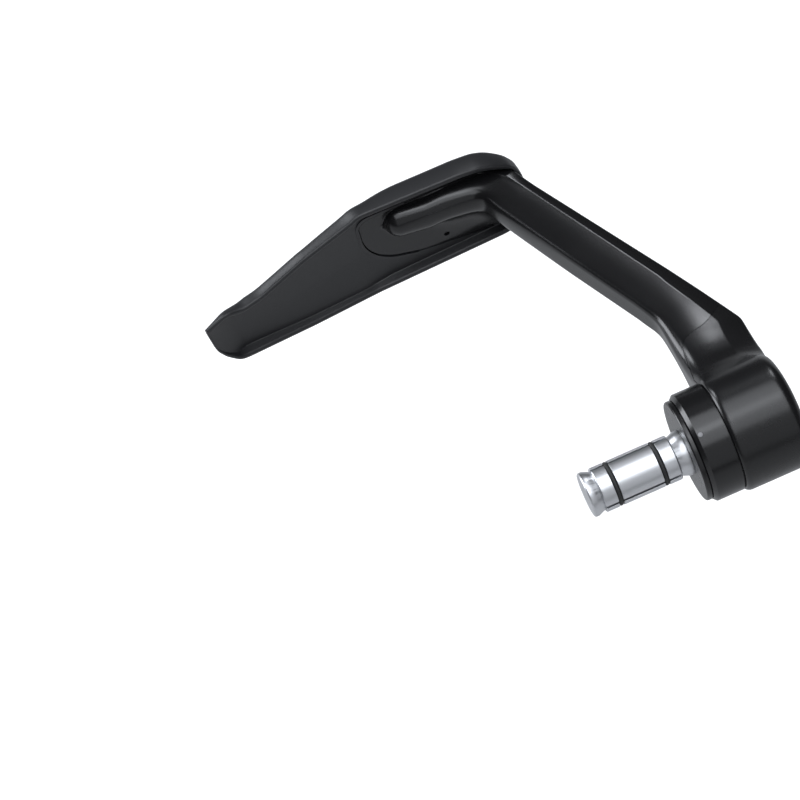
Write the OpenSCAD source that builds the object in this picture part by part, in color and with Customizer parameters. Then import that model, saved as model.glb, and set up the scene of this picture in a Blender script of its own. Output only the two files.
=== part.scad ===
// Brake lever guard for the right-hand end of a tubular handlebar.
// The origin lies on the bar's axis, at the seat against the end of the bar tube.
// +X runs outboard along the bar, +Y forward along the arm's plane, +Z up. Millimetres.

/* [Bar end] */
// Diameter of the end housing
housing_d = 38.2; // [36.4:0.2:40]
// Length of the end housing, from its seat on the collar
housing_l = 24; // [22:0.5:30]
// Radius of the rounded outboard edge of the housing
housing_edge_r = 4; // [1:0.5:5]
// Diameter of the collar that is forged with the arm
collar_d = 36; // [34:0.2:38]
// Width of the collar along the bar
collar_w = 10; // [8:0.5:14]
// Chamfer on the inboard edge of the collar
collar_chamfer = 1.2; // [0.4:0.1:2]
// Diameter of the spacer between the grip and the collar
spacer_d = 33.4; // [30:0.2:34]
// Width of the spacer
spacer_w = 2; // [1.5:0.25:5]
// Width of the groove between collar and housing
groove_w = 0.5; // [0.3:0.1:1.5]
// Width of the dark rounded shoulder beside that groove
shoulder_w = 2.2; // [1:0.1:3]
// Depth of that groove below the housing's surface
groove_depth = 1.5; // [0.8:0.1:2.5]
// Diameter of the housing's spigot inside the collar
spigot_d = 18; // [14:0.5:24]

/* [Bar plug] */
// Diameter of the expander sleeve before it is tightened
plug_d = 14.8; // [14:0.1:17]
// Length of the expander sleeve
sleeve_l = 26; // [22:1:34]
// Length of each wedge cone
cone_l = 9; // [7:0.5:12]
// How far each cone reaches into the sleeve
cone_bite = 5; // [3:0.5:7]
// Width of the slots between the sleeve's three segments
sleeve_slot = 1.2; // [0.8:0.1:2]
// Thickness of each rubber ring round the sleeve
ring_cord_d = 1.6; // [1.2:0.1:2.4]

/* [Bolt] */
// Thread diameter of the main bolt
bolt_d = 6; // [5:0.5:8]
// Diameter of the bolt's head
bolt_head_d = 10; // [8:0.5:13]
// Height of the bolt's head
bolt_head_h = 6; // [5:0.5:8]
// Width of the hexagon socket across its flats
bolt_socket = 5; // [4:0.5:6]
// Thickness of the flat washer and of the spring washer
washer_t = 1.6; // [1:0.1:2.5]
// Depth from the housing's end to the seat of the washers
head_seat_depth = 12; // [10.5:0.5:16]

/* [Arm] */
// Lean of the arm inboard of straight ahead, in degrees
arm_lean = 25; // [20:0.5:30]
// Distance from the bar's axis to the corner of the arm at the neck
neck_y = 40; // [37:0.2:44]
// Length of the arm from that corner to the corner at the blade
arm_l = 96.5; // [90:0.1:110]
// Width of the arm at the blade
arm_w = 14.8; // [13:0.2:17]
// Width of the arm where it meets the neck
arm_root_w = 17.8; // [15:0.2:18.6]
// Thickness of the arm
arm_t = 12; // [10:0.2:13]
// Width of the neck along the bar
neck_w = 24; // [23:0.2:26]
// How far the web beside the neck reaches over the edge of the collar
web_w = 0.3; // [0.2:0.1:1]
// Bend radius of the arm's centreline at the blade
elbow_r = 12; // [10:0.5:16]
// Width of the sloping outboard facet at the neck end
facet_neck = 5.4; // [4:0.2:6]
// Width of that facet at the blade end
facet_blade = 2.8; // [1.5:0.2:4]
// Slope of the outboard facet, in degrees
facet_slope = 21; // [12:1:30]
// Gap of the seam between arm and housing
seam_gap = 0.3; // [0.1:0.05:0.4]
// Diameter of the tenon that joins the arm to the neck
tenon_d = 7; // [6:0.5:8]
// Length of the tenon beyond the seam
tenon_l = 13; // [11:0.5:16]

/* [Blade] */
// Length of the outboard panel of the blade
panel_l = 56.3; // [52:0.1:62]
// Length of the bent inboard wing
wing_l = 61.2; // [50:0.2:70]
// Angle that the wing is bent back towards the rider
wing_bend = 11; // [6:0.5:16]
// Height of the blade at its bend
blade_h = 43.4; // [40:0.2:48]
// Drop of the blade's middle below the arm's plane
blade_drop = 6.2; // [5.5:0.1:7]
// Depth of the outboard panel
panel_depth = 10; // [9:0.25:12]
// Depth of the wing
wing_depth = 5.8; // [5.6:0.2:8]
// Depth from the rim to the inner floor
floor_depth = 3.5; // [3:0.1:4]
// Thickness of the blade's wall
blade_wall = 2.2; // [1.8:0.1:2.6]
// Draft of the blade's flanks, in degrees
blade_draft = 11; // [6:0.5:14]
// Depth of the crease along the wing
crease_depth = 1.8; // [0.8:0.1:2.2]

/* [Blade fixing] */
// Thickness of the arm's mounting flange
flange_t = 3.5; // [3:0.1:4]
// Gap round the flange in its pocket
pocket_gap = 0.3; // [0.2:0.05:0.4]
// Radius of the half-round pod on the flange
pod_r = 5.6; // [5:0.2:6.5]
// Thread diameter of the blade screws
screw_d = 3; // [2.5:0.5:4]
// Diameter of their heads
screw_head_d = 5.6; // [5:0.2:6.4]
// Height of their heads
screw_head_h = 1.8; // [1.4:0.1:2.4]
// Diameter of the small hole that shows through the flange
pilot_d = 2; // [1:0.25:2.5]
// Clearance between a screw and its hole
screw_gap = 0.1; // [0.05:0.05:0.3]

/* [Hidden] */
$fn = 96;
eps = 0.01;
coarse_fn = 24;

// Places along the bar's axis
collar_x0 = spacer_w;
collar_x1 = collar_x0 + collar_w;
housing_x1 = collar_x1 + housing_l;
head_seat_x = housing_x1 - head_seat_depth;
bolt_underhead_x = head_seat_x + 2 * washer_t;
fit_gap = 0.05;

// Places along the bar plug, inboard of the origin
sleeve_x1 = -(cone_l - cone_bite);
sleeve_x0 = sleeve_x1 - sleeve_l;
nut_x0 = sleeve_x0 - (cone_l - cone_bite);
cone_r = plug_d / 2;
cone_tip_r = cone_r - 3;

// Places in the arm's plane
neck_x = collar_x1 - web_w + neck_w / 2;
arm_dir = [-sin(arm_lean), cos(arm_lean)];
neck_corner = [neck_x + 0.9, neck_y];
elbow_corner = neck_corner + arm_l * arm_dir;
elbow_turn = 90 - arm_lean;
elbow_tangent = elbow_r * tan(elbow_turn / 2);
elbow_start = elbow_corner - elbow_tangent * arm_dir;
elbow_centre = elbow_start + elbow_r * [-cos(arm_lean), -sin(arm_lean)];
flange_y = elbow_corner[1] + 0.15;
rim_y = flange_y - floor_depth;
pocket_y = flange_y + flange_t;
panel_y = rim_y + panel_depth;

// Places along the blade
blade_x1 = elbow_corner[0] + 12.4;
bend_x = blade_x1 - panel_l;
tip_x = bend_x - wing_l;
rim_top = blade_h / 2 - blade_drop;
rim_bottom = -blade_h / 2 - blade_drop;
pod_x0 = bend_x + 7.5;
flange_x0 = bend_x - 0.6;
flange_x1 = elbow_corner[0] - 1;
upper_screw = [bend_x + 15, rim_top - 12.2];
lower_screw = [bend_x + 27.1, rim_bottom + 11.3];
screw_seat_y = panel_y - 1.3;
screw_washer_t = 0.8;
screw_washer_d = screw_head_d + 0.8;
tap_depth = flange_t - 0.8;
screw_l = screw_seat_y + screw_washer_t - pocket_y + tap_depth - 0.2;

// Height of the joint screw, below the neck
joint_screw_y = neck_y - 8;
joint_head_d = 6.4;
joint_head_h = 2;
joint_screw_d = 4;
neck_t_at_screw = arm_t + 1.6;

// Skin over a list of closed rings that have equal numbers of points. cap closes the ends:
// it lists convex faces over one ring's points, in the ring's own order.
module skin(rings, cap = undef) {
    n = len(rings[0]);
    m = len(rings);
    ends = cap == undef ? [[for (j = [0 : n - 1]) j]] : cap;
    points = [for (ring = rings) each ring];
    sides = [for (i = [0 : m - 2], j = [0 : n - 1], half = [0, 1])
        let (a = i * n + j, b = i * n + (j + 1) % n)
        half == 0 ? [b, a, b + n] : [b + n, a, a + n]];
    last = [for (face = ends) [for (j = [len(face) - 1 : -1 : 0]) (m - 1) * n + face[j]]];
    polyhedron(points, concat(ends, sides, last), convexity = 6);
}

// A solid of revolution round the bar's axis, from a profile of [x, radius] points.
module turned(profile) {
    rotate([90, 0, 90])
        rotate_extrude()
            polygon([for (p = profile) [p[1], p[0]]]);
}

// A bar of length l along the bar's axis, from x.
module axial(x, r, l) {
    translate([x, 0, 0])
        rotate([0, 90, 0])
            cylinder(r = r, h = l);
}

// A bar of length l that runs forward from y, at a place in the XZ plane.
module forward(xz, y, r, l) {
    translate([xz[0], y, xz[1]])
        rotate([-90, 0, 0])
            cylinder(r = r, h = l);
}

// Section of the arm: the inboard side is upright, the top face is crowned, and the
// outboard facet slopes away. soft scales the round of the inboard edge, and k blends the
// whole into a half-round.
function arm_half(wi, wo, t, facet, soft) = let (drop = facet * tan(facet_slope)) [
    [-wi, 0],
    [-wi, t - 2.4 * soft],
    [-wi + 0.45 * soft, t - 1.2 * soft],
    [-wi + 1.3 * soft, t - 0.35 * soft],
    [-wi + 2.4 * soft, t],
    [(wo - facet - wi) / 2 + 1 + soft / 2, t + 0.25],
    [wo - facet - 0.6, t],
    [wo - facet + 0.6, t - 0.3],
    [wo - 0.9, t - drop],
    [wo, t - drop - 1.4],
    [wo, 0]];
function round_half(wi, wo, t) = [for (i = [0 : 10])
    let (a = 180 - 18 * i) [(i < 5 ? wi : wo) * cos(a), t * sin(a)]];
function blend(a, b, k) = [for (i = [0 : len(a) - 1]) (1 - k) * a[i] + k * b[i]];
function closed(half) = concat(half, [for (i = [len(half) - 2 : -1 : 1]) [half[i][0], -half[i][1]]]);
function section(wi, wo, t, facet, k, grow, soft = 1) =
    closed(blend(arm_half(wi + grow, wo + grow, t + grow, facet, soft),
                 round_half(wi + grow, wo + grow, t + grow), k));
// Puts a section at a point of the arm's plane. turn is the angle of its across axis from +X.
function placed(pts, at, turn, lift = 0) =
    [for (p = pts) [at[0] + p[0] * cos(turn), at[1] + p[0] * sin(turn), p[1] + lift]];

// The neck and the foot of the arm. Each station is [place of its inboard edge along Y,
// turn of its across axis, added half thickness, width of the outboard facet, softness of
// the inboard edge].
neck_in_x = neck_x - neck_w / 2;
neck_out_x = neck_x + neck_w / 2 + 0.4;
arm_across = [cos(arm_lean), sin(arm_lean)];
arm_offset = neck_corner * arm_across;
foot_stations = [[-39, 0, 9.6, 7, 1.5], [-33.6, 0, 11.4, 7, 1.6], [-28.6, 0, 9.3, 7, 1.7], [-24.6, 0, 6.6, 7.6, 1.8],
                 [-20.6, 0, 3.7, 8, 1.9], [-15.6, 0, 1.7, 8.2, 1.9], [-10.6, 0, 0.7, 8.2, 1.9],
                 [-6.6, 0, 0.3, 8, 1.8], [-4.4, 0.05, 0.2, 7.6, 1.7], [-2.2, 0.17, 0.1, 7, 1.6],
                 [2.4, 0.4, 0, 6.2, 1.4], [7.4, 0.72, 0, 5.8, 1.2], [12.4, 1, 0, 5.4, 1]];
function foot_ring(st, grow) = let (
        y = neck_y + st[0], a = arm_lean * st[1],
        in_line = (arm_offset - arm_root_w / 2 - y * sin(arm_lean)) / cos(arm_lean),
        at = [min(neck_in_x, in_line), y],
        reach = min((arm_offset + arm_root_w / 2 - at * arm_across) / cos(arm_lean - a),
                    (neck_out_x - at[0]) / cos(a)))
    placed(section(reach / 2, reach / 2, arm_t / 2 + st[2], st[3] * facet_neck / 5.4, 0, grow, st[4]),
           at + reach / 2 * [cos(a), sin(a)], a);
function foot_rings(grow) = [for (st = foot_stations) foot_ring(st, grow)];

// The straight arm, at distances from the neck's corner.
function arm_rings(grow) = [for (run = [22, arm_l / 2, arm_l - elbow_tangent])
    let (f = run / arm_l, w = arm_root_w + (arm_w - arm_root_w) * f)
    placed(section(w / 2, w / 2, arm_t / 2, facet_neck + (facet_blade - facet_neck) * f, 0, grow),
           neck_corner + run * arm_dir, arm_lean)];

// The elbow and the pod, which lies half sunk in the flange and ends round.
pod_back = flange_t - 0.5;
pod_rise = 0.9;
function elbow_rings(grow) = [for (i = [1 : 6])
    let (f = i / 6, turn = arm_lean + f * elbow_turn)
    placed(section(arm_w / 2 + (pod_r - arm_w / 2) * f, arm_w / 2 + (pod_back - arm_w / 2) * pow(f, 0.8),
                   arm_t / 2 + (pod_r - arm_t / 2) * f, facet_blade * (1 - 0.6 * f), f * 0.75, grow),
           elbow_centre + elbow_r * [cos(turn), sin(turn)], turn)];
function pod_rings(grow) = [for (a = [0, 25, 50, 70, 84])
    let (c = cos(a), run = pod_r * sin(a))
    placed(section(pod_r * c, pod_back * c, pod_r * c, 1.1 * c, a < 60 ? 0.75 + a / 240 : 1, grow),
           [pod_x0 + pod_r - run - (a == 84 ? grow : 0), elbow_corner[1]], 90, pod_rise)];

// The web below the elbow, which carries the arm's inboard side down to the flange's foot.
// Each row is [inner edge, outer edge, share of the way down].
function beside(run, inset) = let (f = 1 + (run - elbow_tangent) / arm_l)
    elbow_start + run * arm_dir + (inset - (arm_root_w + (arm_w - arm_root_w) * f) / 2) * arm_across;
elbow_web = [[beside(-9.5, 1.6), beside(-9.5, 5), -0.08], [beside(-7.5, 0.05), beside(-7.5, 5), 0.024],
             [beside(-4.8, 0.05), beside(-4.8, 5), 0.1], [beside(-2.1, 0.05), beside(-2.1, 5), 0.19],
             [elbow_corner + [-3.6, -8.3], elbow_corner + [0.6, -7.3], 0.41],
             [elbow_corner + [-4.7, -5.3], elbow_corner + [-1, -3.6], 0.6],
             [elbow_corner + [-6.8, -2.2], elbow_corner + [-4.4, 1.2], 0.78],
             [elbow_corner + [-10.8, 0.4], elbow_corner + [-10.6, 3.2], 0.9]];
module elbow_web() {
    top = -3;
    skin([for (row = elbow_web)
        let (p = row[0], q = row[1], along = (q - p) / norm(q - p), z = -arm_t / 2 + row[2] * (rim_bottom + 5 + arm_t / 2))
        [[q[0], q[1], top], [q[0], q[1], z], [p[0] + 0.8 * along[0], p[1] + 0.8 * along[1], z],
         [p[0] + 0.25 * along[0], p[1] + 0.25 * along[1], z + 0.25], [p[0], p[1], z + 0.8], [p[0], p[1], top]]]);
}

module arm_form(grow = 0) {
    skin(concat(foot_rings(grow), arm_rings(grow), elbow_rings(grow), pod_rings(grow)));
}

// The seam crosses the arm in a shallow wave and then runs down beside the collar.
seam_points = [for (p = [[60, 12], [9.6, 5.2], [5.8, 3], [2.4, -0.6], [-1.6, -2.8], [-7.6, -4.4],
                         [-9.2, -5.4], [-10.6, -7.8], [-11.5, -13.4]])
               neck_corner + [p[0] * neck_w / 24, p[1]]];
seam_foot_y = collar_d / 2 + 1.2;
web_foot_y = 0.5;
module arm_side(shift = 0) {
    far = 300;
    tongue_x = collar_x1 + groove_w / 4;
    polygon(concat([for (p = seam_points) p + [shift, -shift]],
                   [[tongue_x + shift, seam_foot_y], [collar_x1 - 0.05 + shift, seam_foot_y - 1],
                    [collar_x1 - 0.05 + shift, web_foot_y], [-far, web_foot_y], [-far, far],
                    [60 + neck_x + shift, far]]));
}

module tall(h = 60) {
    translate([0, 0, -h / 2])
        linear_extrude(h)
            children();
}

// Outline of the flange in the XZ plane: a plate with a large round at its inboard foot.
flange_top = rim_top - 7.7;
flange_foot = rim_bottom + 5;
flange_r = 16;
flange_mid = -blade_drop + 4.4;
function flange_outline(grow) = let (
        x0 = flange_x0 - grow, x1 = flange_x1 + grow, z0 = flange_foot - grow, z1 = flange_top + grow,
        r = flange_r + grow, q = 4 + grow)
    concat([for (a = [0 : 10 : 70]) [x0 + r - r * cos(a), flange_mid - r * sin(a)]],
           [[flange_x0 + 18.5, z0 + 3.4], [flange_x0 + 33, z0 + 1.4], [x1, z0], [x1, z1 - 5], [x1 - 8, z1]],
           [for (a = [0 : 15 : 90]) [x0 + q - q * sin(a), z1 - q + q * cos(a)]]);
module flange_plate(y, t, grow = 0) {
    translate([0, y + t, 0])
        rotate([90, 0, 0])
            linear_extrude(t)
                polygon(flange_outline(grow));
}

// A tapped hole in the flange, open at the front.
module tapped_hole(xz, depth) {
    forward(xz, pocket_y - depth, screw_d / 2 + fit_gap, depth + eps);
}

module arm() {
    color([0.09, 0.09, 0.1])
    difference() {
        union() {
            intersection() {
                arm_form();
                tall() arm_side();
            }
            turned([[collar_x0 + collar_chamfer, collar_d / 2], [collar_x0, collar_d / 2 - collar_chamfer],
                    [collar_x0, spigot_d / 2 + fit_gap], [collar_x1, spigot_d / 2 + fit_gap],
                    [collar_x1, collar_d / 2]]);
            flange_plate(flange_y, flange_t);
            elbow_web();
            translate([neck_x, neck_y - 4 - tenon_l, 0])
                rotate([-90, 0, 0])
                    cylinder(d = tenon_d, h = tenon_l + 8);
        }
        axial(collar_x0 - 1, spigot_d / 2 + fit_gap, collar_w + 2);
        tapped_hole(upper_screw, tap_depth);
        tapped_hole(lower_screw, tap_depth);
        forward(lower_screw, flange_y - 1, pilot_d / 2, flange_t + 1);
        index_pin_body(0);
        translate([neck_x, joint_screw_y, -tenon_d])
            cylinder(r = joint_screw_d / 2 + fit_gap, h = tenon_d + 1.5);
    }
}

module end_housing() {
    r = housing_d / 2;
    color([0.11, 0.11, 0.12])
    difference() {
        union() {
            turned(concat([[collar_x0, 0], [collar_x1, 0], [collar_x1, r - groove_depth],
                           [collar_x1 + groove_w, r - groove_depth]],
                          [for (a = [0 : 22.5 : 90])
                              [collar_x1 + groove_w + shoulder_w * (1 - cos(a)), r - 1.1 * (1 - sin(a))]],
                          [for (a = [0 : 15 : 90])
                              [housing_x1 - housing_edge_r * (1 - sin(a)), r - housing_edge_r * (1 - cos(a))]],
                          [[housing_x1, 0]]));
            axial(collar_x0, spigot_d / 2, collar_w);
            difference() {
                arm_form();
                tall() arm_side(seam_gap);
            }
        }
        axial(collar_x0 - 1, bolt_d / 2 + 0.3, housing_x1);
        axial(head_seat_x, bolt_head_d / 2 + 0.8, head_seat_depth + 1);
        translate([neck_x, neck_y - 4 - tenon_l - 0.3, 0])
            rotate([-90, 0, 0])
                cylinder(r = tenon_d / 2 + screw_gap, h = tenon_l + 12);
        translate([neck_x, joint_screw_y, -neck_t_at_screw])
            cylinder(r = joint_screw_d / 2 + 0.25, h = neck_t_at_screw);
        translate([neck_x, joint_screw_y, -neck_t_at_screw])
            cylinder(r = joint_head_d / 2 + 0.3, h = neck_t_at_screw / 2 + joint_head_h - 0.4);
    }
}

module spacer_ring() {
    color([0.13, 0.13, 0.14])
    difference() {
        turned([[0, 0], [0, spacer_d / 2 - 0.4], [0.4, spacer_d / 2], [spacer_w - 0.4, spacer_d / 2],
                [spacer_w, spacer_d / 2 - 0.4], [spacer_w, 0]]);
        axial(-1, bolt_d / 2 + 0.3, spacer_w + 2);
    }
}

// A short steel pin in the collar that marks the arm's angle.
index_angle = 113;
index_pin_d = 1.6;
index_pin_l = 4;
module index_pin_body(gap) {
    translate([collar_x0 + collar_chamfer + 1, 0, 0])
        rotate([index_angle - 90, 0, 0])
            translate([0, 0, collar_d / 2 - index_pin_l + 0.1])
                cylinder(r = index_pin_d / 2 - gap, h = index_pin_l);
}
module index_pin() {
    color([0.75, 0.76, 0.78])
        index_pin_body(fit_gap / 2);
}

module joint_screw() {
    head_z = -neck_t_at_screw / 2 + joint_head_h - 0.4;
    color([0.2, 0.2, 0.21])
    translate([neck_x, joint_screw_y, 0])
    difference() {
        union() {
            translate([0, 0, head_z - joint_head_h])
                cylinder(d = joint_head_d, h = joint_head_h);
            translate([0, 0, head_z - eps])
                cylinder(d = joint_screw_d, h = 1 - head_z);
        }
        translate([0, 0, head_z - joint_head_h - eps])
            cylinder(d = 2.9, h = 1.2, $fn = 6);
    }
}

module main_bolt() {
    color([0.55, 0.56, 0.58])
    difference() {
        union() {
            axial(nut_x0, bolt_d / 2, bolt_underhead_x - nut_x0 + eps);
            turned([[bolt_underhead_x, 0], [bolt_underhead_x, bolt_head_d / 2],
                    [bolt_underhead_x + bolt_head_h - 0.6, bolt_head_d / 2],
                    [bolt_underhead_x + bolt_head_h, bolt_head_d / 2 - 0.6],
                    [bolt_underhead_x + bolt_head_h, 0]]);
        }
        translate([bolt_underhead_x + bolt_head_h - bolt_head_h * 0.55, 0, 0])
            rotate([0, 90, 0])
                cylinder(d = bolt_socket / cos(30), h = bolt_head_h, $fn = 6);
    }
}

module flat_washer() {
    color([0.6, 0.61, 0.63])
    difference() {
        axial(head_seat_x, bolt_head_d / 2 + 0.5, washer_t);
        axial(head_seat_x - 1, bolt_d / 2 + 0.2, washer_t + 2);
    }
}

// A split spring washer, drawn flat as it lies when tightened.
module spring_washer() {
    color([0.5, 0.5, 0.52])
    difference() {
        axial(head_seat_x + washer_t, bolt_head_d / 2 + 0.1, washer_t);
        axial(head_seat_x, bolt_d / 2 + 0.2, 3 * washer_t);
        translate([head_seat_x + 1.5 * washer_t, 0, bolt_head_d / 2 - 1])
            rotate([0, 0, 25])
                cube([3 * washer_t, 0.8, 5], center = true);
    }
}

// The wedge cone against the spacer draws the sleeve open as the bolt is tightened.
module outer_cone() {
    color([0.62, 0.63, 0.65])
    difference() {
        turned([[-cone_l, 0], [-cone_l, cone_tip_r], [-1.5, cone_r], [0, cone_r], [0, 0]]);
        axial(-cone_l - 1, bolt_d / 2 + 0.2, cone_l + 2);
    }
}

module cone_nut() {
    color([0.62, 0.63, 0.65])
    difference() {
        turned([[nut_x0, 0], [nut_x0, cone_r - 0.4], [nut_x0 + 0.4, cone_r], [nut_x0 + 1.5, cone_r],
                [nut_x0 + cone_l, cone_tip_r], [nut_x0 + cone_l, 0]]);
        axial(nut_x0 - 1, bolt_d / 2 + fit_gap, cone_l + 2);
    }
}

// One third of the expander sleeve, with a cone seat at each end and two ring grooves.
groove_in = 3.2;
cone_slope = (cone_r - cone_tip_r) / (cone_l - 1.5);
mouth_r = cone_tip_r + cone_slope * cone_bite + 0.03;
throat_r = cone_tip_r + 0.03;
function ring_groove(x) = [[x - ring_cord_d / 2, plug_d / 2], [x - ring_cord_d / 2, plug_d / 2 - ring_cord_d],
                           [x + ring_cord_d / 2, plug_d / 2 - ring_cord_d], [x + ring_cord_d / 2, plug_d / 2]];
module sleeve_segment(i) {
    apex = sleeve_slot / 2 / sin(60);
    color([0.3, 0.3, 0.32])
    intersection() {
        turned(concat([[sleeve_x0, mouth_r], [sleeve_x0, plug_d / 2 - 0.3], [sleeve_x0 + 0.3, plug_d / 2]],
                      ring_groove(sleeve_x0 + groove_in + 2),
                      ring_groove(sleeve_x1 - groove_in - 2),
                      [[sleeve_x1 - 0.3, plug_d / 2], [sleeve_x1, plug_d / 2 - 0.3], [sleeve_x1, mouth_r],
                       [sleeve_x1 - cone_bite, throat_r], [sleeve_x0 + cone_bite, throat_r]]));
        rotate([120 * i, 0, 0])
            translate([sleeve_x0 - 1, 0, 0])
                rotate([90, 0, 90])
                    linear_extrude(sleeve_l + 2)
                        polygon([[apex, 0], [apex + 2 * plug_d, -2 * plug_d * tan(60)],
                                 [apex + 2 * plug_d, 2 * plug_d * tan(60)]]);
    }
}

// A rubber ring that holds the segments together, seated in their grooves.
module rubber_ring(x) {
    color([0.05, 0.05, 0.05])
    translate([x, 0, 0])
        rotate([0, 90, 0])
            rotate_extrude()
                translate([plug_d / 2 - ring_cord_d / 2, 0])
                    circle(d = ring_cord_d - 2 * fit_gap, $fn = coarse_fn);
}

// Outline and depth of the blade, as tables over the distance u outboard of its bend. Its
// front bulges where it covers the end of the flange.
function wing(f) = -f * wing_l;
function panel(d) = panel_l - d;
top_table = [[wing(1), rim_top - 8.8], [wing(0.87), rim_top - 6.6], [wing(0.77), rim_top - 9.2],
             [wing(0.65), rim_top - 8.9], [wing(0.36), rim_top - 4], [wing(0.07), rim_top - 1.2],
             [0, rim_top], [panel(21), rim_top - 0.9], [panel(14), rim_top - 1.8],
             [panel(9), rim_top - 4], [panel(3.4), rim_top - 7.9], [panel(1.2), rim_top - 10.6],
             [panel(0), rim_top - 15]];
bottom_table = [[wing(1), rim_bottom + 31.4], [wing(0.98), rim_bottom + 19.2], [wing(0.88), rim_bottom + 10.1],
                [wing(0.83), rim_bottom + 9.1], [wing(0.41), rim_bottom + 4], [0, rim_bottom],
                [panel(10), rim_bottom + 2.2], [panel(2.6), rim_bottom + 4.4],
                [panel(0.9), rim_bottom + 7.9], [panel(0), rim_bottom + 13.5]];
depth_table = [[wing(1), 1.7], [wing(0.94), 2.5], [wing(0.87), wing_depth - 2.4], [wing(0.77), wing_depth],
               [2, wing_depth], [12, panel_depth - 0.8], [panel(26), panel_depth - 0.5], [panel(10), panel_depth], [panel(5), panel_depth - 1.6],
               [panel(2), panel_depth - 3.4], [panel(0), panel_depth - 4.6]];
floor_table = [[wing(0.985), 0.4], [wing(0.94), 1], [wing(0.87), floor_depth - 1.3],
               [wing(0.8), floor_depth], [panel(2.7), floor_depth], [panel(2.2), 0.3]];
crease_table = [[wing(0.75), 0], [wing(0.45), crease_depth * 0.6], [wing(0.07), crease_depth], [6, 0]];
bulge_table = [[-20, 0], [-3, 2.8], [3, 2.8], [12, 0]];
draft_table = [[wing(1), 30], [wing(0.94), 26], [wing(0.87), 25], [wing(0.8), 17], [wing(0.72), blade_draft]];
stations = concat([for (f = [1, 0.985, 0.96, 0.94, 0.91, 0.87, 0.83, 0.77, 0.71, 0.65, 0.55, 0.45, 0.36,
                             0.2, 0.07])
                       wing(f)],
                  [-3, 0, 3, 5, 8, 12, 22],
                  [for (d = [21, 17, 14, 11, 9, 7, 5, 3.4, 2.7, 2.2, 1.2, 0.6, 0]) panel(d)]);
foot_draft = 6;
keel_share = 0.45;
rim_chamfer = 0.5;
corner_r = 3;

// Section of the tray at u, as points of [depth, z]: outside first, then inside.
function tray_section(u) = let (
        zt = lookup(u, top_table), zb = lookup(u, bottom_table),
        d = lookup(u, depth_table), k = lookup(u, crease_table), f = lookup(u, floor_table),
        h = zt - zb, w = min(blade_wall, h * 0.25), r = min(corner_r, d * 0.5, h * 0.15),
        it = min(d * tan(lookup(u, draft_table)), h * 0.3), ib = d * tan(foot_draft), db = d - k,
        zk = zb + keel_share * h, zh = zk + 0.84 * (zt - it - r - zk), b = lookup(u, bulge_table),
        c = min(rim_chamfer, w * 0.2, f * 0.4),
        q = min(1.2, f * 0.5), jt = f * tan(blade_draft), jb = f * tan(foot_draft), fb = f - min(k, f) * 0.6)
    [[c, zb], [db - r, zb + ib], [db - 0.3 * r, zb + ib + 0.3 * r], [db, zb + ib + r],
     [d + b, zk], [d + b, zh],
     [d, zt - it - r], [d - 0.3 * r, zt - it - 0.3 * r], [d - r, zt - it],
     [c, zt], [0, zt - c], [0, zt - w + c], [c, zt - w],
     [f - q, zt - w - jt], [f, zt - w - jt - q],
     [f, zk],
     [fb, zb + w + jb + q], [fb - q, zb + w + jb], [c, zb + w], [0, zb + w - c], [0, zb + c]];
tray_cap = [[9, 10, 11, 12], [8, 9, 12, 13], [7, 8, 13], [6, 7, 13, 14], [5, 6, 14], [4, 5, 14, 15],
            [3, 4, 15, 16], [2, 3, 16], [1, 2, 16, 17], [0, 1, 17, 18], [0, 18, 19, 20]];
function rail(u) = u >= 0 ? [bend_x + u, rim_y] : [bend_x + u * cos(wing_bend), rim_y + u * sin(wing_bend)];
function rail_turn(u) = u >= 4 ? 0 : u <= -4 ? wing_bend : wing_bend * (4 - u) / 8;
function tray_ring(u) = let (a = rail_turn(u), at = rail(u))
    [for (p = tray_section(u)) [at[0] - p[0] * sin(a), at[1] + p[0] * cos(a), p[1]]];

// The blade: a moulded tray, open towards the rider, with a pocket for the arm's flange.
rib_w = 1;
rib_h = 0.4;
module blade() {
    color([0.16, 0.16, 0.17])
    difference() {
        union() {
            skin([for (u = stations) tray_ring(u)], tray_cap);
            intersection() {
                flange_plate(flange_y - rib_h, flange_t, pocket_gap + rib_w);
                translate([flange_x0 - 3, flange_y - 2, flange_foot - 1])
                    cube([20, flange_t, flange_top - flange_foot]);
            }
        }
        flange_plate(rim_y - 6, pocket_y - rim_y + 6, pocket_gap);
        arm_form(pocket_gap);
        for (xz = [upper_screw, lower_screw]) {
            forward(xz, pocket_y - 1, screw_d / 2 + screw_gap, panel_depth);
            forward(xz, screw_seat_y, screw_washer_d / 2 + 0.2, panel_depth);
        }
    }
}

module blade_screw(xz) {
    head_y = screw_seat_y + screw_washer_t;
    color([0.45, 0.46, 0.48])
    difference() {
        union() {
            forward(xz, head_y - screw_l, screw_d / 2, screw_l + eps);
            translate([xz[0], head_y, xz[1]])
                rotate([-90, 0, 0])
                    rotate_extrude()
                        polygon([[0, 0], [screw_head_d / 2, 0], [screw_head_d / 2, 0.5],
                                 [screw_head_d / 2 - 0.5, screw_head_h * 0.7],
                                 [screw_head_d / 2 - 1.4, screw_head_h], [0, screw_head_h]]);
        }
        translate([xz[0], head_y + screw_head_h - 1.2, xz[1]])
            rotate([-90, 0, 0])
                cylinder(d = 2 / cos(30), h = 3, $fn = 6);
    }
}
module blade_screw_upper() { blade_screw(upper_screw); }
module blade_screw_lower() { blade_screw(lower_screw); }

module screw_washer(xz) {
    color([0.55, 0.56, 0.58])
    difference() {
        forward(xz, screw_seat_y, screw_washer_d / 2, screw_washer_t);
        forward(xz, screw_seat_y - 1, screw_d / 2 + screw_gap, screw_washer_t + 2);
    }
}
module screw_washer_upper() { screw_washer(upper_screw); }
module screw_washer_lower() { screw_washer(lower_screw); }

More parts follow.
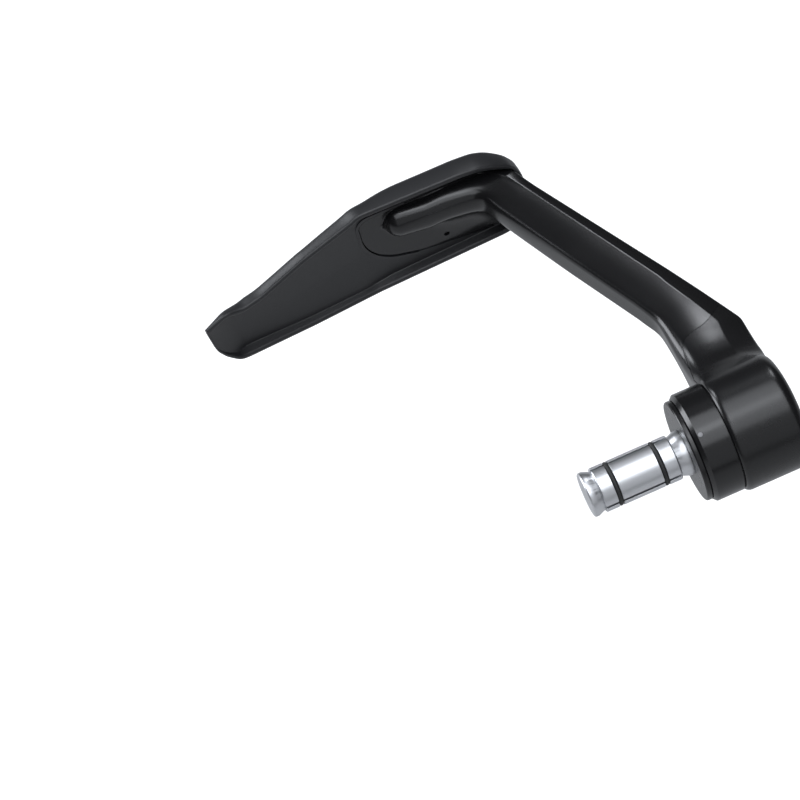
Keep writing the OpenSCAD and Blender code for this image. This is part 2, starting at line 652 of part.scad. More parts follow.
module sleeve_segment_1() { sleeve_segment(0); }
module sleeve_segment_2() { sleeve_segment(1); }
module sleeve_segment_3() { sleeve_segment(2); }
module rubber_ring_inner() { rubber_ring(sleeve_x0 + groove_in + 2); }
module rubber_ring_outer() { rubber_ring(sleeve_x1 - groove_in - 2); }

blade();
arm();
end_housing();
spacer_ring();
index_pin();
joint_screw();
main_bolt();
flat_washer();
spring_washer();
outer_cone();
cone_nut();
sleeve_segment_1();
sleeve_segment_2();
sleeve_segment_3();
rubber_ring_inner();
rubber_ring_outer();
blade_screw_upper();
blade_screw_lower();
screw_washer_upper();
screw_washer_lower();
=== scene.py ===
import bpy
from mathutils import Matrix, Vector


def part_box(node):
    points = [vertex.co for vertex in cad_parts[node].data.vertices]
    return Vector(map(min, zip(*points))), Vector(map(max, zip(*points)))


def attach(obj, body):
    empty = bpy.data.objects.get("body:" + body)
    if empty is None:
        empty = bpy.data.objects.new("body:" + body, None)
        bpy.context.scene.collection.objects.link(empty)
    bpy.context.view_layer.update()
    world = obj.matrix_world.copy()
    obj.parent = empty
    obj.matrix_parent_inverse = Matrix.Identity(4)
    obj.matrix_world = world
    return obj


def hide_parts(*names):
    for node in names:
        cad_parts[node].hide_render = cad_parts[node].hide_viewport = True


bl_info = {
    "name": "Brake lever guard",
    "version": (1, 0, 0),
    "blender": (4, 5, 0),
    "location": "View3D > Sidebar > Lever Guard",
    "description": "Dresses the lever guard's solids with smooth forms and finishes",
    "category": "Object",
}

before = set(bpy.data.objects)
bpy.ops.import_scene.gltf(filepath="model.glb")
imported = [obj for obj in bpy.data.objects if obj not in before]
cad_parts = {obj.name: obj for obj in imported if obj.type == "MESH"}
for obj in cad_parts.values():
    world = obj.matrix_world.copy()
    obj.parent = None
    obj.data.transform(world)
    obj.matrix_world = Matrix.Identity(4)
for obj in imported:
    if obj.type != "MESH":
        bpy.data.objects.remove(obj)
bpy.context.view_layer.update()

import math
from bisect import bisect_right

import bmesh
import bpy
from bpy.props import FloatProperty, FloatVectorProperty, IntProperty, PointerProperty
from mathutils import Euler, Vector
from mathutils.kdtree import KDTree

MM = 0.001

# The frame's places, in millimetres, as the part's source has them.
COLLAR_X0, COLLAR_X1 = 2.0, 12.0
COLLAR_EDGE = 1.2
ARM_LEAN = math.radians(25)
ARM_DIR = Vector((-math.sin(ARM_LEAN), math.cos(ARM_LEAN)))
ARM_ACROSS = Vector((math.cos(ARM_LEAN), math.sin(ARM_LEAN)))
FACET_SLOPE = math.radians(21)
FLANGE_BACK = 3.65

# Bores, seats, edges and gaps, in millimetres.
SPIGOT_R, SPIGOT_WAY_R = 9.0, 9.05
BOLT_WAY_R, HEAD_WAY_R, HEAD_WAY_DEPTH = 3.3, 5.8, 12
JOINT_SEAT_R, JOINT_SEAT_Z = 3.5, -5.2
PIN_ANGLE, PIN_R, PIN_FOOT = math.radians(113 - 90), 0.8, 14.1
PILOT_R, BLADE_WAY_R, BLADE_SEAT_R, BLADE_SEAT_DEPTH = 1.0, 1.6, 3.4, 1.3
GROOVE_W, GROOVE_DEPTH = 0.5, 1.9
SHOULDER_W, SHOULDER_DROP = 2.2, 1.6
POCKET_GAP = 0.3
CROWN_BULGE = 0.12

# Arm sections and flange sections have this many points, in the same order.
SECTION_POINTS = 80
# A distance well past the guard, in millimetres.
FAR = 300


def props():
    """The scene's guard settings."""
    return bpy.context.scene.lever_guard


def length(name, about, value, low, high):
    """A size in millimetres."""
    return FloatProperty(name=name, description=about, default=value, min=low, max=high)


def share(name, about, value):
    """A value from 0 to 1."""
    return FloatProperty(name=name, description=about, default=value, min=0, max=1)


def brightness(name, about, value):
    """A light's brightness."""
    return FloatProperty(name=name, description=about, default=value, min=0, max=50)


def colour(name, about, value):
    """A colour without alpha."""
    return FloatVectorProperty(name=name, description=about, subtype="COLOR", size=3, default=value)


class GuardSizes(bpy.types.PropertyGroup):
    """Sizes of the visible forms, in millimetres"""

    housing_d: length("Housing diameter", "Diameter of the end housing", 38.2, 30, 45)
    housing_l: length("Housing length", "Length of the end housing", 24.0, 18, 34)
    housing_edge: length("Housing edge", "Radius of the outboard edge", 4.0, 0.5, 6)
    collar_d: length("Collar diameter", "Diameter of the collar", 36.0, 30, 42)
    neck_y: length("Neck distance", "From the bar's axis to the arm's corner", 40.0, 36, 46)
    neck_w: length("Neck width", "Width of the neck along the bar", 24.0, 20, 30)
    web_w: length("Web reach", "Reach of the web over the collar's edge", 0.3, 0.1, 2)
    arm_l: length("Arm length", "From corner to corner of the arm", 96.5, 80, 120)
    arm_w: length("Arm width", "Width of the arm at the blade", 14.8, 10, 20)
    arm_root_w: length("Arm root width", "Width of the arm at the neck", 17.8, 12, 22)
    arm_t: length("Arm thickness", "Thickness of the arm", 12.0, 8, 16)
    elbow_r: length("Elbow radius", "Bend radius at the blade", 12.0, 8, 20)
    pod_r: length("Pod radius", "Radius of the half-round pod", 5.6, 4, 8)
    blade_h: length("Blade height", "Height of the blade at its bend", 43.4, 36, 52)
    blade_drop: length("Blade drop", "Drop of the blade's middle", 6.2, 3, 9)
    panel_l: length("Panel length", "Length of the outboard panel", 56.3, 45, 70)
    wing_l: length("Wing length", "Length of the bent wing", 61.2, 45, 80)
    wing_bend: FloatProperty(
        name="Wing bend", description="Angle of the wing", subtype="ANGLE", default=math.radians(11),
    )
    panel_depth: length("Panel depth", "Depth of the panel", 10.0, 6, 14)
    wing_depth: length("Wing depth", "Depth of the wing", 5.8, 3, 9)
    floor_depth: length("Floor depth", "Depth from rim to floor", 3.5, 2, 5)
    wall: length("Blade wall", "Thickness of the blade's wall", 2.2, 1.5, 3)
    crease: length("Crease depth", "Depth of the wing's crease", 1.8, 0, 3)


class GuardFinish(bpy.types.PropertyGroup):
    """Colours and gloss of the guard"""

    nylon: colour("Blade colour", "Moulded nylon", (0.014, 0.0143, 0.0158))
    nylon_rough: share("Blade roughness", "Roughness of the nylon", 0.42)
    anodised: colour("Arm colour", "Black anodised aluminium", (0.006, 0.006, 0.0066))
    anodised_rough: share("Arm roughness", "Roughness of the anodised skin", 0.22)


class GuardStage(bpy.types.PropertyGroup):
    """Camera and light"""

    lens: FloatProperty(
        name="Lens", description="Focal length on a 36 mm sensor", default=172.8, min=20, max=400,
    )
    camera_place: FloatVectorProperty(
        name="Camera", description="Place of the camera", subtype="TRANSLATION", unit="LENGTH", size=3,
        default=(-0.14989, -0.64075, 1.00294),
    )
    camera_turn: FloatVectorProperty(
        name="Camera turn", description="Turn of the camera", subtype="EULER", size=3,
        default=(math.radians(33.7469), math.radians(10.5153), math.radians(-21.5378)),
    )
    floor_z: FloatProperty(
        name="Floor height", description="Height of the floor", default=-0.16, unit="LENGTH",
    )
    world_light: brightness("Sky", "Strength of the world's light", 0.07)
    front_light: brightness("Front light", "Brightness of the soft light in front of the blade", 8.0)
    top_light: brightness("Top light", "Brightness of the soft light overhead", 2.9)
    side_light: brightness("Side light", "Brightness of the small light ahead of the bar's end", 11.0)
    left_light: brightness("Left light", "Brightness of the light low on the left", 7.0)
    back_light: brightness("Back light", "Brightness of the wide soft light behind the camera", 2.3)
    low_light: brightness("Low light", "Brightness of the faint light low behind the camera", 0.5)
    floor_shine: share("Floor shine", "White added to the floor where it is mirrored", 0.0)
    floor_glow: share("Floor white", "White added to the floor in the picture", 0.7)


class LeverGuard(bpy.types.PropertyGroup):
    """All settings of the guard"""

    sizes: PointerProperty(type=GuardSizes, name="Sizes", description="Sizes of the forms")
    finish: PointerProperty(type=GuardFinish, name="Finish", description="Colours and gloss")
    stage: PointerProperty(type=GuardStage, name="Stage", description="Camera and light")
    facets: IntProperty(
        name="Round facets", description="Facets round a turned piece", default=160, min=48, max=256,
    )


# Values along a length


class Track:
    """A value over u: straight runs between the given places, with softened turns. A value may
    be a number or a row of numbers."""

    def __init__(self, pairs, soft=2.0):
        self.u = [p[0] for p in pairs]
        self.single = not hasattr(pairs[0][1], "__len__")
        self.v = [[p[1]] if self.single else list(p[1]) for p in pairs]
        self.soft = soft

    def plain(self, u):
        u = min(max(u, self.u[0]), self.u[-1])
        i = min(max(bisect_right(self.u, u) - 1, 0), len(self.u) - 2)
        t = (u - self.u[i]) / (self.u[i + 1] - self.u[i])
        return [a + (b - a) * t for a, b in zip(self.v[i], self.v[i + 1])]

    def __call__(self, u):
        reach = min(self.soft, max(u - self.u[0], 0), max(self.u[-1] - u, 0))
        if reach < 1e-6:
            out = self.plain(u)
        else:
            rows = [(1 - abs(k) / 7, self.plain(u + reach * k / 6)) for k in range(-6, 7)]
            total = sum(w for w, _ in rows)
            out = [sum(w * row[i] for w, row in rows) / total for i in range(len(self.v[0]))]
        return out[0] if self.single else out


# Meshes


def link(name, mesh):
    """A new object with that mesh, in the scene."""
    obj = bpy.data.objects.new(name, mesh)
    bpy.context.scene.collection.objects.link(obj)
    return obj


def mesh_from(name, points, faces):
    """A mesh from points in millimetres, with its faces turned outward."""
    mesh = bpy.data.meshes.new(name)
    mesh.from_pydata([tuple(c * MM for c in p) for p in points], [], faces)
    bm = bmesh.new()
    bm.from_mesh(mesh)
    bmesh.ops.remove_doubles(bm, verts=bm.verts, dist=1e-7)
    bmesh.ops.recalc_face_normals(bm, faces=bm.faces)
    bm.to_mesh(mesh)
    bm.free()
    return mesh


def loft(name, rings):
    """A closed skin over rings of equal length."""
    n, m = len(rings[0]), len(rings)
    points = [p for ring in rings for p in ring]
    faces = [
        (i * n + j, i * n + (j + 1) % n, (i + 1) * n + (j + 1) % n, (i + 1) * n + j)
        for i in range(m - 1)
        for j in range(n)
    ]
    faces += [tuple(range(n)), tuple((m - 1) * n + j for j in reversed(range(n)))]
    return link(name, mesh_from(name, points, faces))


def turned(name, profile):
    """A closed ring of [x, radius] points, turned round the bar's axis. A profile that starts and
    ends on the axis gives a plain solid."""
    n = props().facets
    points, faces = [], []
    for x, r in profile:
        points += [(x, r * math.cos(math.tau * k / n), r * math.sin(math.tau * k / n)) for k in range(n)]
    m = len(profile)
    closed = profile[0][1] > 0.01
    for i in range(m if closed else m - 1):
        a, b = i * n, (i + 1) % m * n
        for k in range(n):
            q = (k + 1) % n
            faces.append((a + k, b + k, b + q, a + q))
    mesh = mesh_from(name, points, faces)
    return link(name, mesh)


def prism(name, outline, z0, z1):
    """An upright prism over an outline in the arm's plane."""
    n = len(outline)
    points = [(x, y, z0) for x, y in outline] + [(x, y, z1) for x, y in outline]
    faces = [tuple(reversed(range(n))), tuple(range(n, 2 * n))]
    faces += [(i, (i + 1) % n, n + (i + 1) % n, n + i) for i in range(n)]
    return link(name, mesh_from(name, points, faces))


def plate(name, outline, y0, y1):
    """A plate over an outline in the XZ plane, from y0 forward to y1."""
    n = len(outline)
    points = [(x, y0, z) for x, z in outline] + [(x, y1, z) for x, z in outline]
    faces = [tuple(range(n)), tuple(reversed(range(n, 2 * n)))]
    faces += [(i, n + i, n + (i + 1) % n, (i + 1) % n) for i in range(n)]
    return link(name, mesh_from(name, points, faces))


def rod(name, start, end, r, facets=64):
    """A round rod between two points."""
    start, end = Vector(start), Vector(end)
    axis = (end - start).normalized()
    side = axis.orthogonal().normalized()
    other = axis.cross(side)
    points = []
    for base in (start, end):
        for k in range(facets):
            a = math.tau * k / facets
            points.append(base + r * (math.cos(a) * side + math.sin(a) * other))
    n = facets
    faces = [tuple(range(n)), tuple(reversed(range(n, 2 * n)))]
    faces += [(i, (i + 1) % n, n + (i + 1) % n, n + i) for i in range(n)]
    return link(name, mesh_from(name, points, faces))


def combine(obj, others, operation):
    """Applies an exact Boolean with each of the others, which are then removed."""
    for other in others:
        mod = obj.modifiers.new("cut", "BOOLEAN")
        mod.operation = operation
        mod.solver = "EXACT"
        mod.object = other
        bpy.context.view_layer.update()
        done = bpy.data.meshes.new_from_object(obj.evaluated_get(bpy.context.evaluated_depsgraph_get()))
        obj.modifiers.clear()
        old, obj.data = obj.data, done
        bpy.data.meshes.remove(old)
        bpy.data.objects.remove(other)
    return obj


def soften(obj, width=0.25, sharp=32, segments=3):
    """Smooth shading with crisp edges, and a fine round along them."""
    bm = bmesh.new()
    bm.from_mesh(obj.data)
    bmesh.ops.remove_doubles(bm, verts=bm.verts, dist=2e-6)
    bmesh.ops.dissolve_degenerate(bm, edges=bm.edges, dist=1e-6)
    limit = math.radians(sharp)
    for face in bm.faces:
        face.smooth = True
    for edge in bm.edges:
        edge.smooth = not (edge.is_manifold and edge.calc_face_angle(0) > limit)
    bm.to_mesh(obj.data)
    bm.free()
    if width:
        mod = obj.modifiers.new("round", "BEVEL")
        mod.width = width * MM
        mod.segments = segments
        mod.limit_method = "ANGLE"
        mod.angle_limit = limit
        mod.harden_normals = True
        mod.use_clamp_overlap = True
    return obj


def finish_piece(obj, material, node):
    """Gives a piece its material and ties it to the frame."""
    obj.data.materials.clear()
    obj.data.materials.append(material)
    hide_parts(node)
    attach(obj, "root")
    return obj


# Materials


def node_group(name, inputs, outputs):
    """A new shader node group with named sockets, and its input and output nodes."""
    group = bpy.data.node_groups.new(name, "ShaderNodeTree")
    for label, kind, value in inputs:
        sock = group.interface.new_socket(name=label, in_out="INPUT", socket_type=kind)
        if value is not None:
            sock.default_value = value
    for label, kind in outputs:
        group.interface.new_socket(name=label, in_out="OUTPUT", socket_type=kind)
    return group, group.nodes.new("NodeGroupInput"), group.nodes.new("NodeGroupOutput")


def fine_grain():
    """The moulded or blasted grain of a surface: its height, and how it varies the gloss."""
    name = "Fine grain"
    if name in bpy.data.node_groups:
        return bpy.data.node_groups[name]
    g, gin, gout = node_group(
        name,
        [
            ("Size", "NodeSocketFloat", 2500.0),
            ("Rough", "NodeSocketFloat", 0.4),
            ("Spread", "NodeSocketFloat", 0.1),
        ],
        [("Height", "NodeSocketFloat"), ("Roughness", "NodeSocketFloat")],
    )
    coords = g.nodes.new("ShaderNodeTexCoord")
    fine = g.nodes.new("ShaderNodeTexNoise")
    fine.inputs["Detail"].default_value = 2
    g.links.new(coords.outputs["Object"], fine.inputs["Vector"])
    g.links.new(gin.outputs["Size"], fine.inputs["Scale"])
    g.links.new(fine.outputs["Fac"], gout.inputs["Height"])
    patch = g.nodes.new("ShaderNodeTexNoise")
    patch.inputs["Scale"].default_value = 60
    patch.inputs["Detail"].default_value = 4
    g.links.new(coords.outputs["Object"], patch.inputs["Vector"])
    shift = g.nodes.new("ShaderNodeMath")
    shift.operation = "SUBTRACT"
    shift.inputs[1].default_value = 0.5
    g.links.new(patch.outputs["Fac"], shift.inputs[0])
    scale = g.nodes.new("ShaderNodeMath")
    scale.operation = "MULTIPLY"
    g.links.new(shift.outputs[0], scale.inputs[0])
    g.links.new(gin.outputs["Spread"], scale.inputs[1])
    add = g.nodes.new("ShaderNodeMath")
    add.operation = "ADD"
    g.links.new(scale.outputs[0], add.inputs[0])
    g.links.new(gin.outputs["Rough"], add.inputs[1])
    g.links.new(add.outputs[0], gout.inputs["Roughness"])
    return g


def finish_material(name, tint, rough, metallic=0.0, grain=2500.0, bump=0.05, spread=0.06):
    """A material with a fine grain on a Principled surface."""
    if name in bpy.data.materials:
        return bpy.data.materials[name]
    mat = bpy.data.materials.new(name)
    mat.use_nodes = True
    nodes, links = mat.node_tree.nodes, mat.node_tree.links
    surface = nodes["Principled BSDF"]
    surface.inputs["Base Color"].default_value = (*tint, 1)
    surface.inputs["Metallic"].default_value = metallic
    surface.inputs["IOR"].default_value = 1.5
    grain_node = nodes.new("ShaderNodeGroup")
    grain_node.node_tree = fine_grain()
    grain_node.inputs["Size"].default_value = grain
    grain_node.inputs["Rough"].default_value = rough
    grain_node.inputs["Spread"].default_value = spread
    links.new(grain_node.outputs["Roughness"], surface.inputs["Roughness"])
    relief = nodes.new("ShaderNodeBump")
    relief.inputs["Strength"].default_value = bump
    relief.inputs["Distance"].default_value = 0.0001
    links.new(grain_node.outputs["Height"], relief.inputs["Height"])
    links.new(relief.outputs["Normal"], surface.inputs["Normal"])
    return mat


def nylon():
    """The blade's moulded nylon."""
    f = props().finish
    return finish_material("Moulded nylon", tuple(f.nylon), f.nylon_rough, grain=1800, bump=0.12)


def anodised():
    """The forging's black anodised skin."""
    f = props().finish
    return finish_material("Black anodised", tuple(f.anodised), f.anodised_rough, grain=4000, bump=0.03)


def housing_black():
    """The same black over a blasted surface."""
    f = props().finish
    return finish_material("Black blasted", tuple(f.anodised), 0.27, grain=3500, bump=0.05)


def steel_black():
    """Blackened screws."""
    return finish_material("Blackened steel", (0.012, 0.012, 0.012), 0.38, grain=3000, bump=0.04)


def steel_zinc():
    """The plated main bolt."""
    return finish_material("Zinc steel", (0.6, 0.61, 0.62), 0.3, metallic=1.0, grain=3000, bump=0.04)


def steel_bright():
    """The bare index pin."""
    return finish_material("Bright steel", (0.16, 0.16, 0.165), 0.45, metallic=1.0, grain=3000, bump=0.02)


def plain_aluminium():
    """The turned pieces of the bar plug."""
    return finish_material("Plain aluminium", (0.66, 0.67, 0.69), 0.36, metallic=1.0, grain=3000, bump=0.05)


def rubber():
    """The plug's rings."""
    return finish_material("Ring rubber", (0.02, 0.02, 0.02), 0.6, grain=2500, bump=0.1)


# The forged arm


def arc(at, r, a0, a1, count):
    """count points on an arc round at, in degrees."""
    turns = [math.radians(a0 + (a1 - a0) * i / (count - 1)) for i in range(count)]
    return [(at[0] + r * math.cos(a), at[1] + r * math.sin(a)) for a in turns]


def line(a, b, count):
    """count points from a towards b, without b."""
    return [tuple(p + (q - p) * i / count for p, q in zip(a, b)) for i in range(count)]


def arm_section(wi, wo, t, facet, soft=1.0, lean=0.08, turn=0.4):
    """Section of the bare arm: across and height, from its outboard upper corner over the top,
    down the inboard side, back under the bottom and up the outboard side."""
    slope = math.tan(FACET_SLOPE)
    ri, ro = min(2.4 * soft, 0.8 * t, 0.8 * wi), 1.3
    ridge, left = wo - facet, ri - wi
    right = ridge - turn
    tilt = 2 * lean / (right - left)
    base = t - lean - turn * (slope + tilt)
    zc = base - slope * (facet - ro - turn) - ro / math.cos(FACET_SLOPE)

    def ridge_z(x):
        if x > ridge + turn:
            return base - slope * (x - ridge - turn)
        return t - lean - tilt * (x - right) - (slope - tilt) * (x - right) ** 2 / (4 * turn)

    corner = arc((wo - ro, zc), ro, 0, 69, 5)
    x0 = corner[-1][0]
    over = [(x, ridge_z(x)) for x in (ridge + turn, ridge + turn / 2, ridge, ridge - turn / 2, right)]
    if x0 < ridge + turn:
        over = [(x, ridge_z(x)) for x in (x0 + (right - x0) * k / 5 for k in range(1, 6))]
    crown = []
    for k in range(1, 9):
        z = t - lean * (1 - k / 8) ** 2 + CROWN_BULGE * math.sin(math.pi * k / 8)
        crown.append((right + (left - right) * k / 8, z))
    upper = corner + over + crown + arc((left, t - ri), ri, 99, 180, 9)
    upper += line((-wi, t - ri), (-wi, 0), 6)[1:]
    lower = line((-wi, 0), (-wi, ri - t), 5) + arc((left, ri - t), ri, 180, 270, 19)
    lower += [(x, -z) for x, z in reversed(crown[:-1])] + [(x, -z) for x, z in reversed(over)]
    lower += [(x, -z) for x, z in reversed(corner)]
    side = line((wo, -zc), (wo, zc), 8)[1:]
    return upper + lower + side


def flange_limits(x):
    """Lowest and highest points of the flange at a place along the blade."""
    s, p = props().sizes, places()
    x0, low, top, mid = p["flange_x0"], p["rim_bottom"] + 5, p["rim_top"] - 7.7, -s.blade_drop + 4.4
    d = max(x - x0, 0.02)
    z1 = top if d > 4 else top - 4 + math.sqrt(max(16 - (4 - d) ** 2, 0))
    turn_r, turn = 16, math.radians(70)
    turn_x = turn_r * (1 - math.cos(turn))
    turn_z = mid - turn_r * math.sin(turn)
    foot = Track([(turn_x, turn_z), (18.5, low + 3.4), (33, low + 1.4), (43.5, low)], 4)
    z0 = mid - math.sqrt(turn_r ** 2 - (turn_r - d) ** 2) if d < turn_x else foot(d)
    return z0, max(z1, z0 + 0.1)


def flange_section(x, grow=0.0):
    """Section of the flange and its pod, with the same places as the arm's section."""
    s, p = props().sizes, places()
    back, end = FLANGE_BACK + grow, p["bend_x"] + 7.5 + s.pod_r
    z0, z1 = flange_limits(x)
    z0, z1 = z0 - grow, z1 + grow
    e = min(0.4, (z1 - z0) / 4)
    near = min(max((x - end) / 22, 0), 1)
    power = 2 + 1.2 * near
    cap = min(max((end - x) / (s.pod_r + grow), 0), 1)
    size = math.sqrt(max(1 - cap * cap, 0))
    tall = s.pod_r + grow + 1.8 * near
    spread = max(size, 0.15)
    up, down = (s.pod_r + grow + 0.7 - 0.1 * near) * spread, (s.pod_r + grow + 0.2 + 0.5 * near) * spread
    zc = min(0.9 - 0.4 * near, z1 - e - up - 0.01)
    land = 0.15 - grow
    body = []
    for k in range(14):
        a = math.radians(90 - 88 * (k / 13) ** 1.2)
        body.append((tall * size * abs(math.cos(a)) ** (2 / power), math.sin(a) ** (2 / power)))
    low = max(zc - down, z0 + e + 0.01)
    ring = arc((back - e, z1 - e), e, 0, 90, 5) + arc((land + e, z1 - e), e, 90, 180, 5)
    ring += [(land, z1 - e + (zc + up - z1 + e) * (k + 1) / 9) for k in range(8)]
    ring += [(land - h, zc + up * f) for h, f in body]
    ring += [(land - h, zc - (zc - low) * f) for h, f in reversed(body)]
    ring += [(land, low + (z0 + e - low) * (k + 1) / 10) for k in range(10)]
    ring += arc((land + e, z0 + e), e, 180, 270, 6)
    ring += line((land + e, z0), (back - e, z0), 8)[1:]
    ring += arc((back - e, z0 + e), e, 270, 360, 5)
    ring += line((back, z0 + e), (back, z1 - e), 7)[1:]
    return ring


def ease(rings, passes, along, across):
    """Relaxes a grid of rings, by the given weights along it and round its ring."""
    grid = [[Vector(q) for q in ring] for ring in rings]
    for _ in range(passes):
        old = [list(ring) for ring in grid]
        for i in range(1, len(grid) - 1):
            if along[i] <= 0:
                continue
            for k, w in enumerate(across):
                if w > 0:
                    mean = (old[i - 1][k] + old[i + 1][k] + old[i][k - 1] + old[i][(k + 1) % len(across)]) / 4
                    grid[i][k] = old[i][k].lerp(mean, 0.7 * w * along[i])
    return [[tuple(q) for q in ring] for ring in grid]


def window(u, a, b, ramp):
    """1 between a and b, falling to 0 over the ramp outside."""
    return min(max((u - a) / ramp + 1, 0), max((b - u) / ramp + 1, 0), 1)


def mix(a, b, t):
    """A point between two points."""
    return tuple((1 - t) * u + t * v for u, v in zip(a, b))


def stand(section, at, turn):
    """Puts a section at a point of the arm's plane."""
    c, s = math.cos(turn), math.sin(turn)
    return [(at[0] + x * c, at[1] + x * s, z) for x, z in section]


def places():
    """The places that the forms share, from the sizes."""
    s = props().sizes
    p = {}
    p["neck_x"] = COLLAR_X1 - s.web_w + s.neck_w / 2
    p["neck_corner"] = Vector((p["neck_x"] + 0.9, s.neck_y))
    p["elbow"] = p["neck_corner"] + s.arm_l * ARM_DIR
    turn = math.pi / 2 - ARM_LEAN
    p["tangent"] = s.elbow_r * math.tan(turn / 2)
    p["elbow_centre"] = p["elbow"] - p["tangent"] * ARM_DIR - s.elbow_r * ARM_ACROSS
    p["flange_y"] = p["elbow"].y + 0.15
    p["rim_y"] = p["flange_y"] - s.floor_depth
    p["pocket_y"] = p["flange_y"] + 3.5
    p["panel_y"] = p["rim_y"] + s.panel_depth
    p["bend_x"] = p["elbow"].x + 12.4 - s.panel_l
    p["rim_top"] = s.blade_h / 2 - s.blade_drop
    p["rim_bottom"] = -s.blade_h / 2 - s.blade_drop
    p["flange_x0"] = p["bend_x"] - 0.6
    p["flange_x1"] = p["elbow"].x - 1
    p["upper_screw"] = (p["bend_x"] + 15, p["rim_top"] - 12.2)
    p["lower_screw"] = (p["bend_x"] + 27.1, p["rim_bottom"] + 11.3)
    return p


# Sections of the neck: place along Y from its corner, turn share, added half thickness, facet,
# softness, lean and ridge.
FOOT_STATIONS = [
    (-39, 0, 9.6, 7, 1.5, 0.6, 1),
    (-33.6, 0, 11.4, 7, 1.6, 0.6, 1),
    (-28.6, 0, 9.3, 7, 1.7, 0.8, 0.8),
    (-24.6, 0, 6.6, 7.6, 1.8, 0.9, 0.6),
    (-20.6, 0, 3.7, 8, 1.9, 1, 0.5),
    (-15.6, 0, 1.7, 8.2, 1.9, 1, 0.4),
    (-10.6, 0, 0.7, 8.2, 1.9, 1, 0.4),
    (-6.6, 0, 0.3, 8, 1.8, 1, 0.4),
    (-4.4, 0.05, 0.2, 7.6, 1.7, 1, 0.4),
    (-2.2, 0.17, 0.1, 7, 1.6, 0.95, 0.4),
    (2.4, 0.4, 0, 6.2, 1.4, 0.6, 0.4),
    (7.4, 0.72, 0, 5.8, 1.2, 0.2, 0.4),
    (12.4, 1, 0, 5.4, 1, 0.08, 0.4),
]


def near_min(a, b, blend):
    """The lesser of two values, rounded where they meet."""
    return (a + b - math.sqrt((a - b) ** 2 + blend * blend)) / 2


def neck_rings():
    """Rings from the neck's foot to the start of the straight arm."""
    s, p = props().sizes, places()
    neck_in = p["neck_x"] - s.neck_w / 2
    neck_out = p["neck_x"] + s.neck_w / 2 + 0.4
    corner, end = p["neck_corner"], p["elbow"]
    in_0, in_1 = corner - s.arm_root_w / 2 * ARM_ACROSS, end - s.arm_w / 2 * ARM_ACROSS
    out_0, out_1 = corner + s.arm_root_w / 2 * ARM_ACROSS, end + s.arm_w / 2 * ARM_ACROSS
    normal = Vector(((out_1 - out_0).y, -(out_1 - out_0).x)).normalized()
    foot = Track([(st[0], st[1:]) for st in FOOT_STATIONS], 2.6)
    rings = []
    first, last, count = FOOT_STATIONS[0][0], FOOT_STATIONS[-1][0], 66
    for i in range(count):
        y_off = first + i * (last - first) / (count - 1)
        share, grow, facet, soft, lean, ridge = foot(y_off)
        y, a = s.neck_y + y_off, ARM_LEAN * share
        in_line = in_0.x + (in_1.x - in_0.x) * (y - in_0.y) / (in_1.y - in_0.y)
        at = Vector((near_min(neck_in, in_line, 1.4), y))
        to_line = (out_0 - at).dot(normal) / normal.dot(Vector((math.cos(a), math.sin(a))))
        half = near_min(to_line, (neck_out - at.x) / math.cos(a), 0.5) / 2
        section = arm_section(half, half, s.arm_t / 2 + grow, facet, soft, lean, ridge)
        rings.append(stand(section, at + half * Vector((math.cos(a), math.sin(a))), a))
    return rings


# How far the arm's section has turned into the flange's, over the run past the elbow's start.
PLATE_SHARE = [
    (-9, 0), (-7.5, 0.03), (-4.8, 0.1), (-2.1, 0.19), (2.4, 0.37), (7.7, 0.58), (13.6, 0.78), (16.8, 0.9),
    (20, 0.98), (23, 1),
]


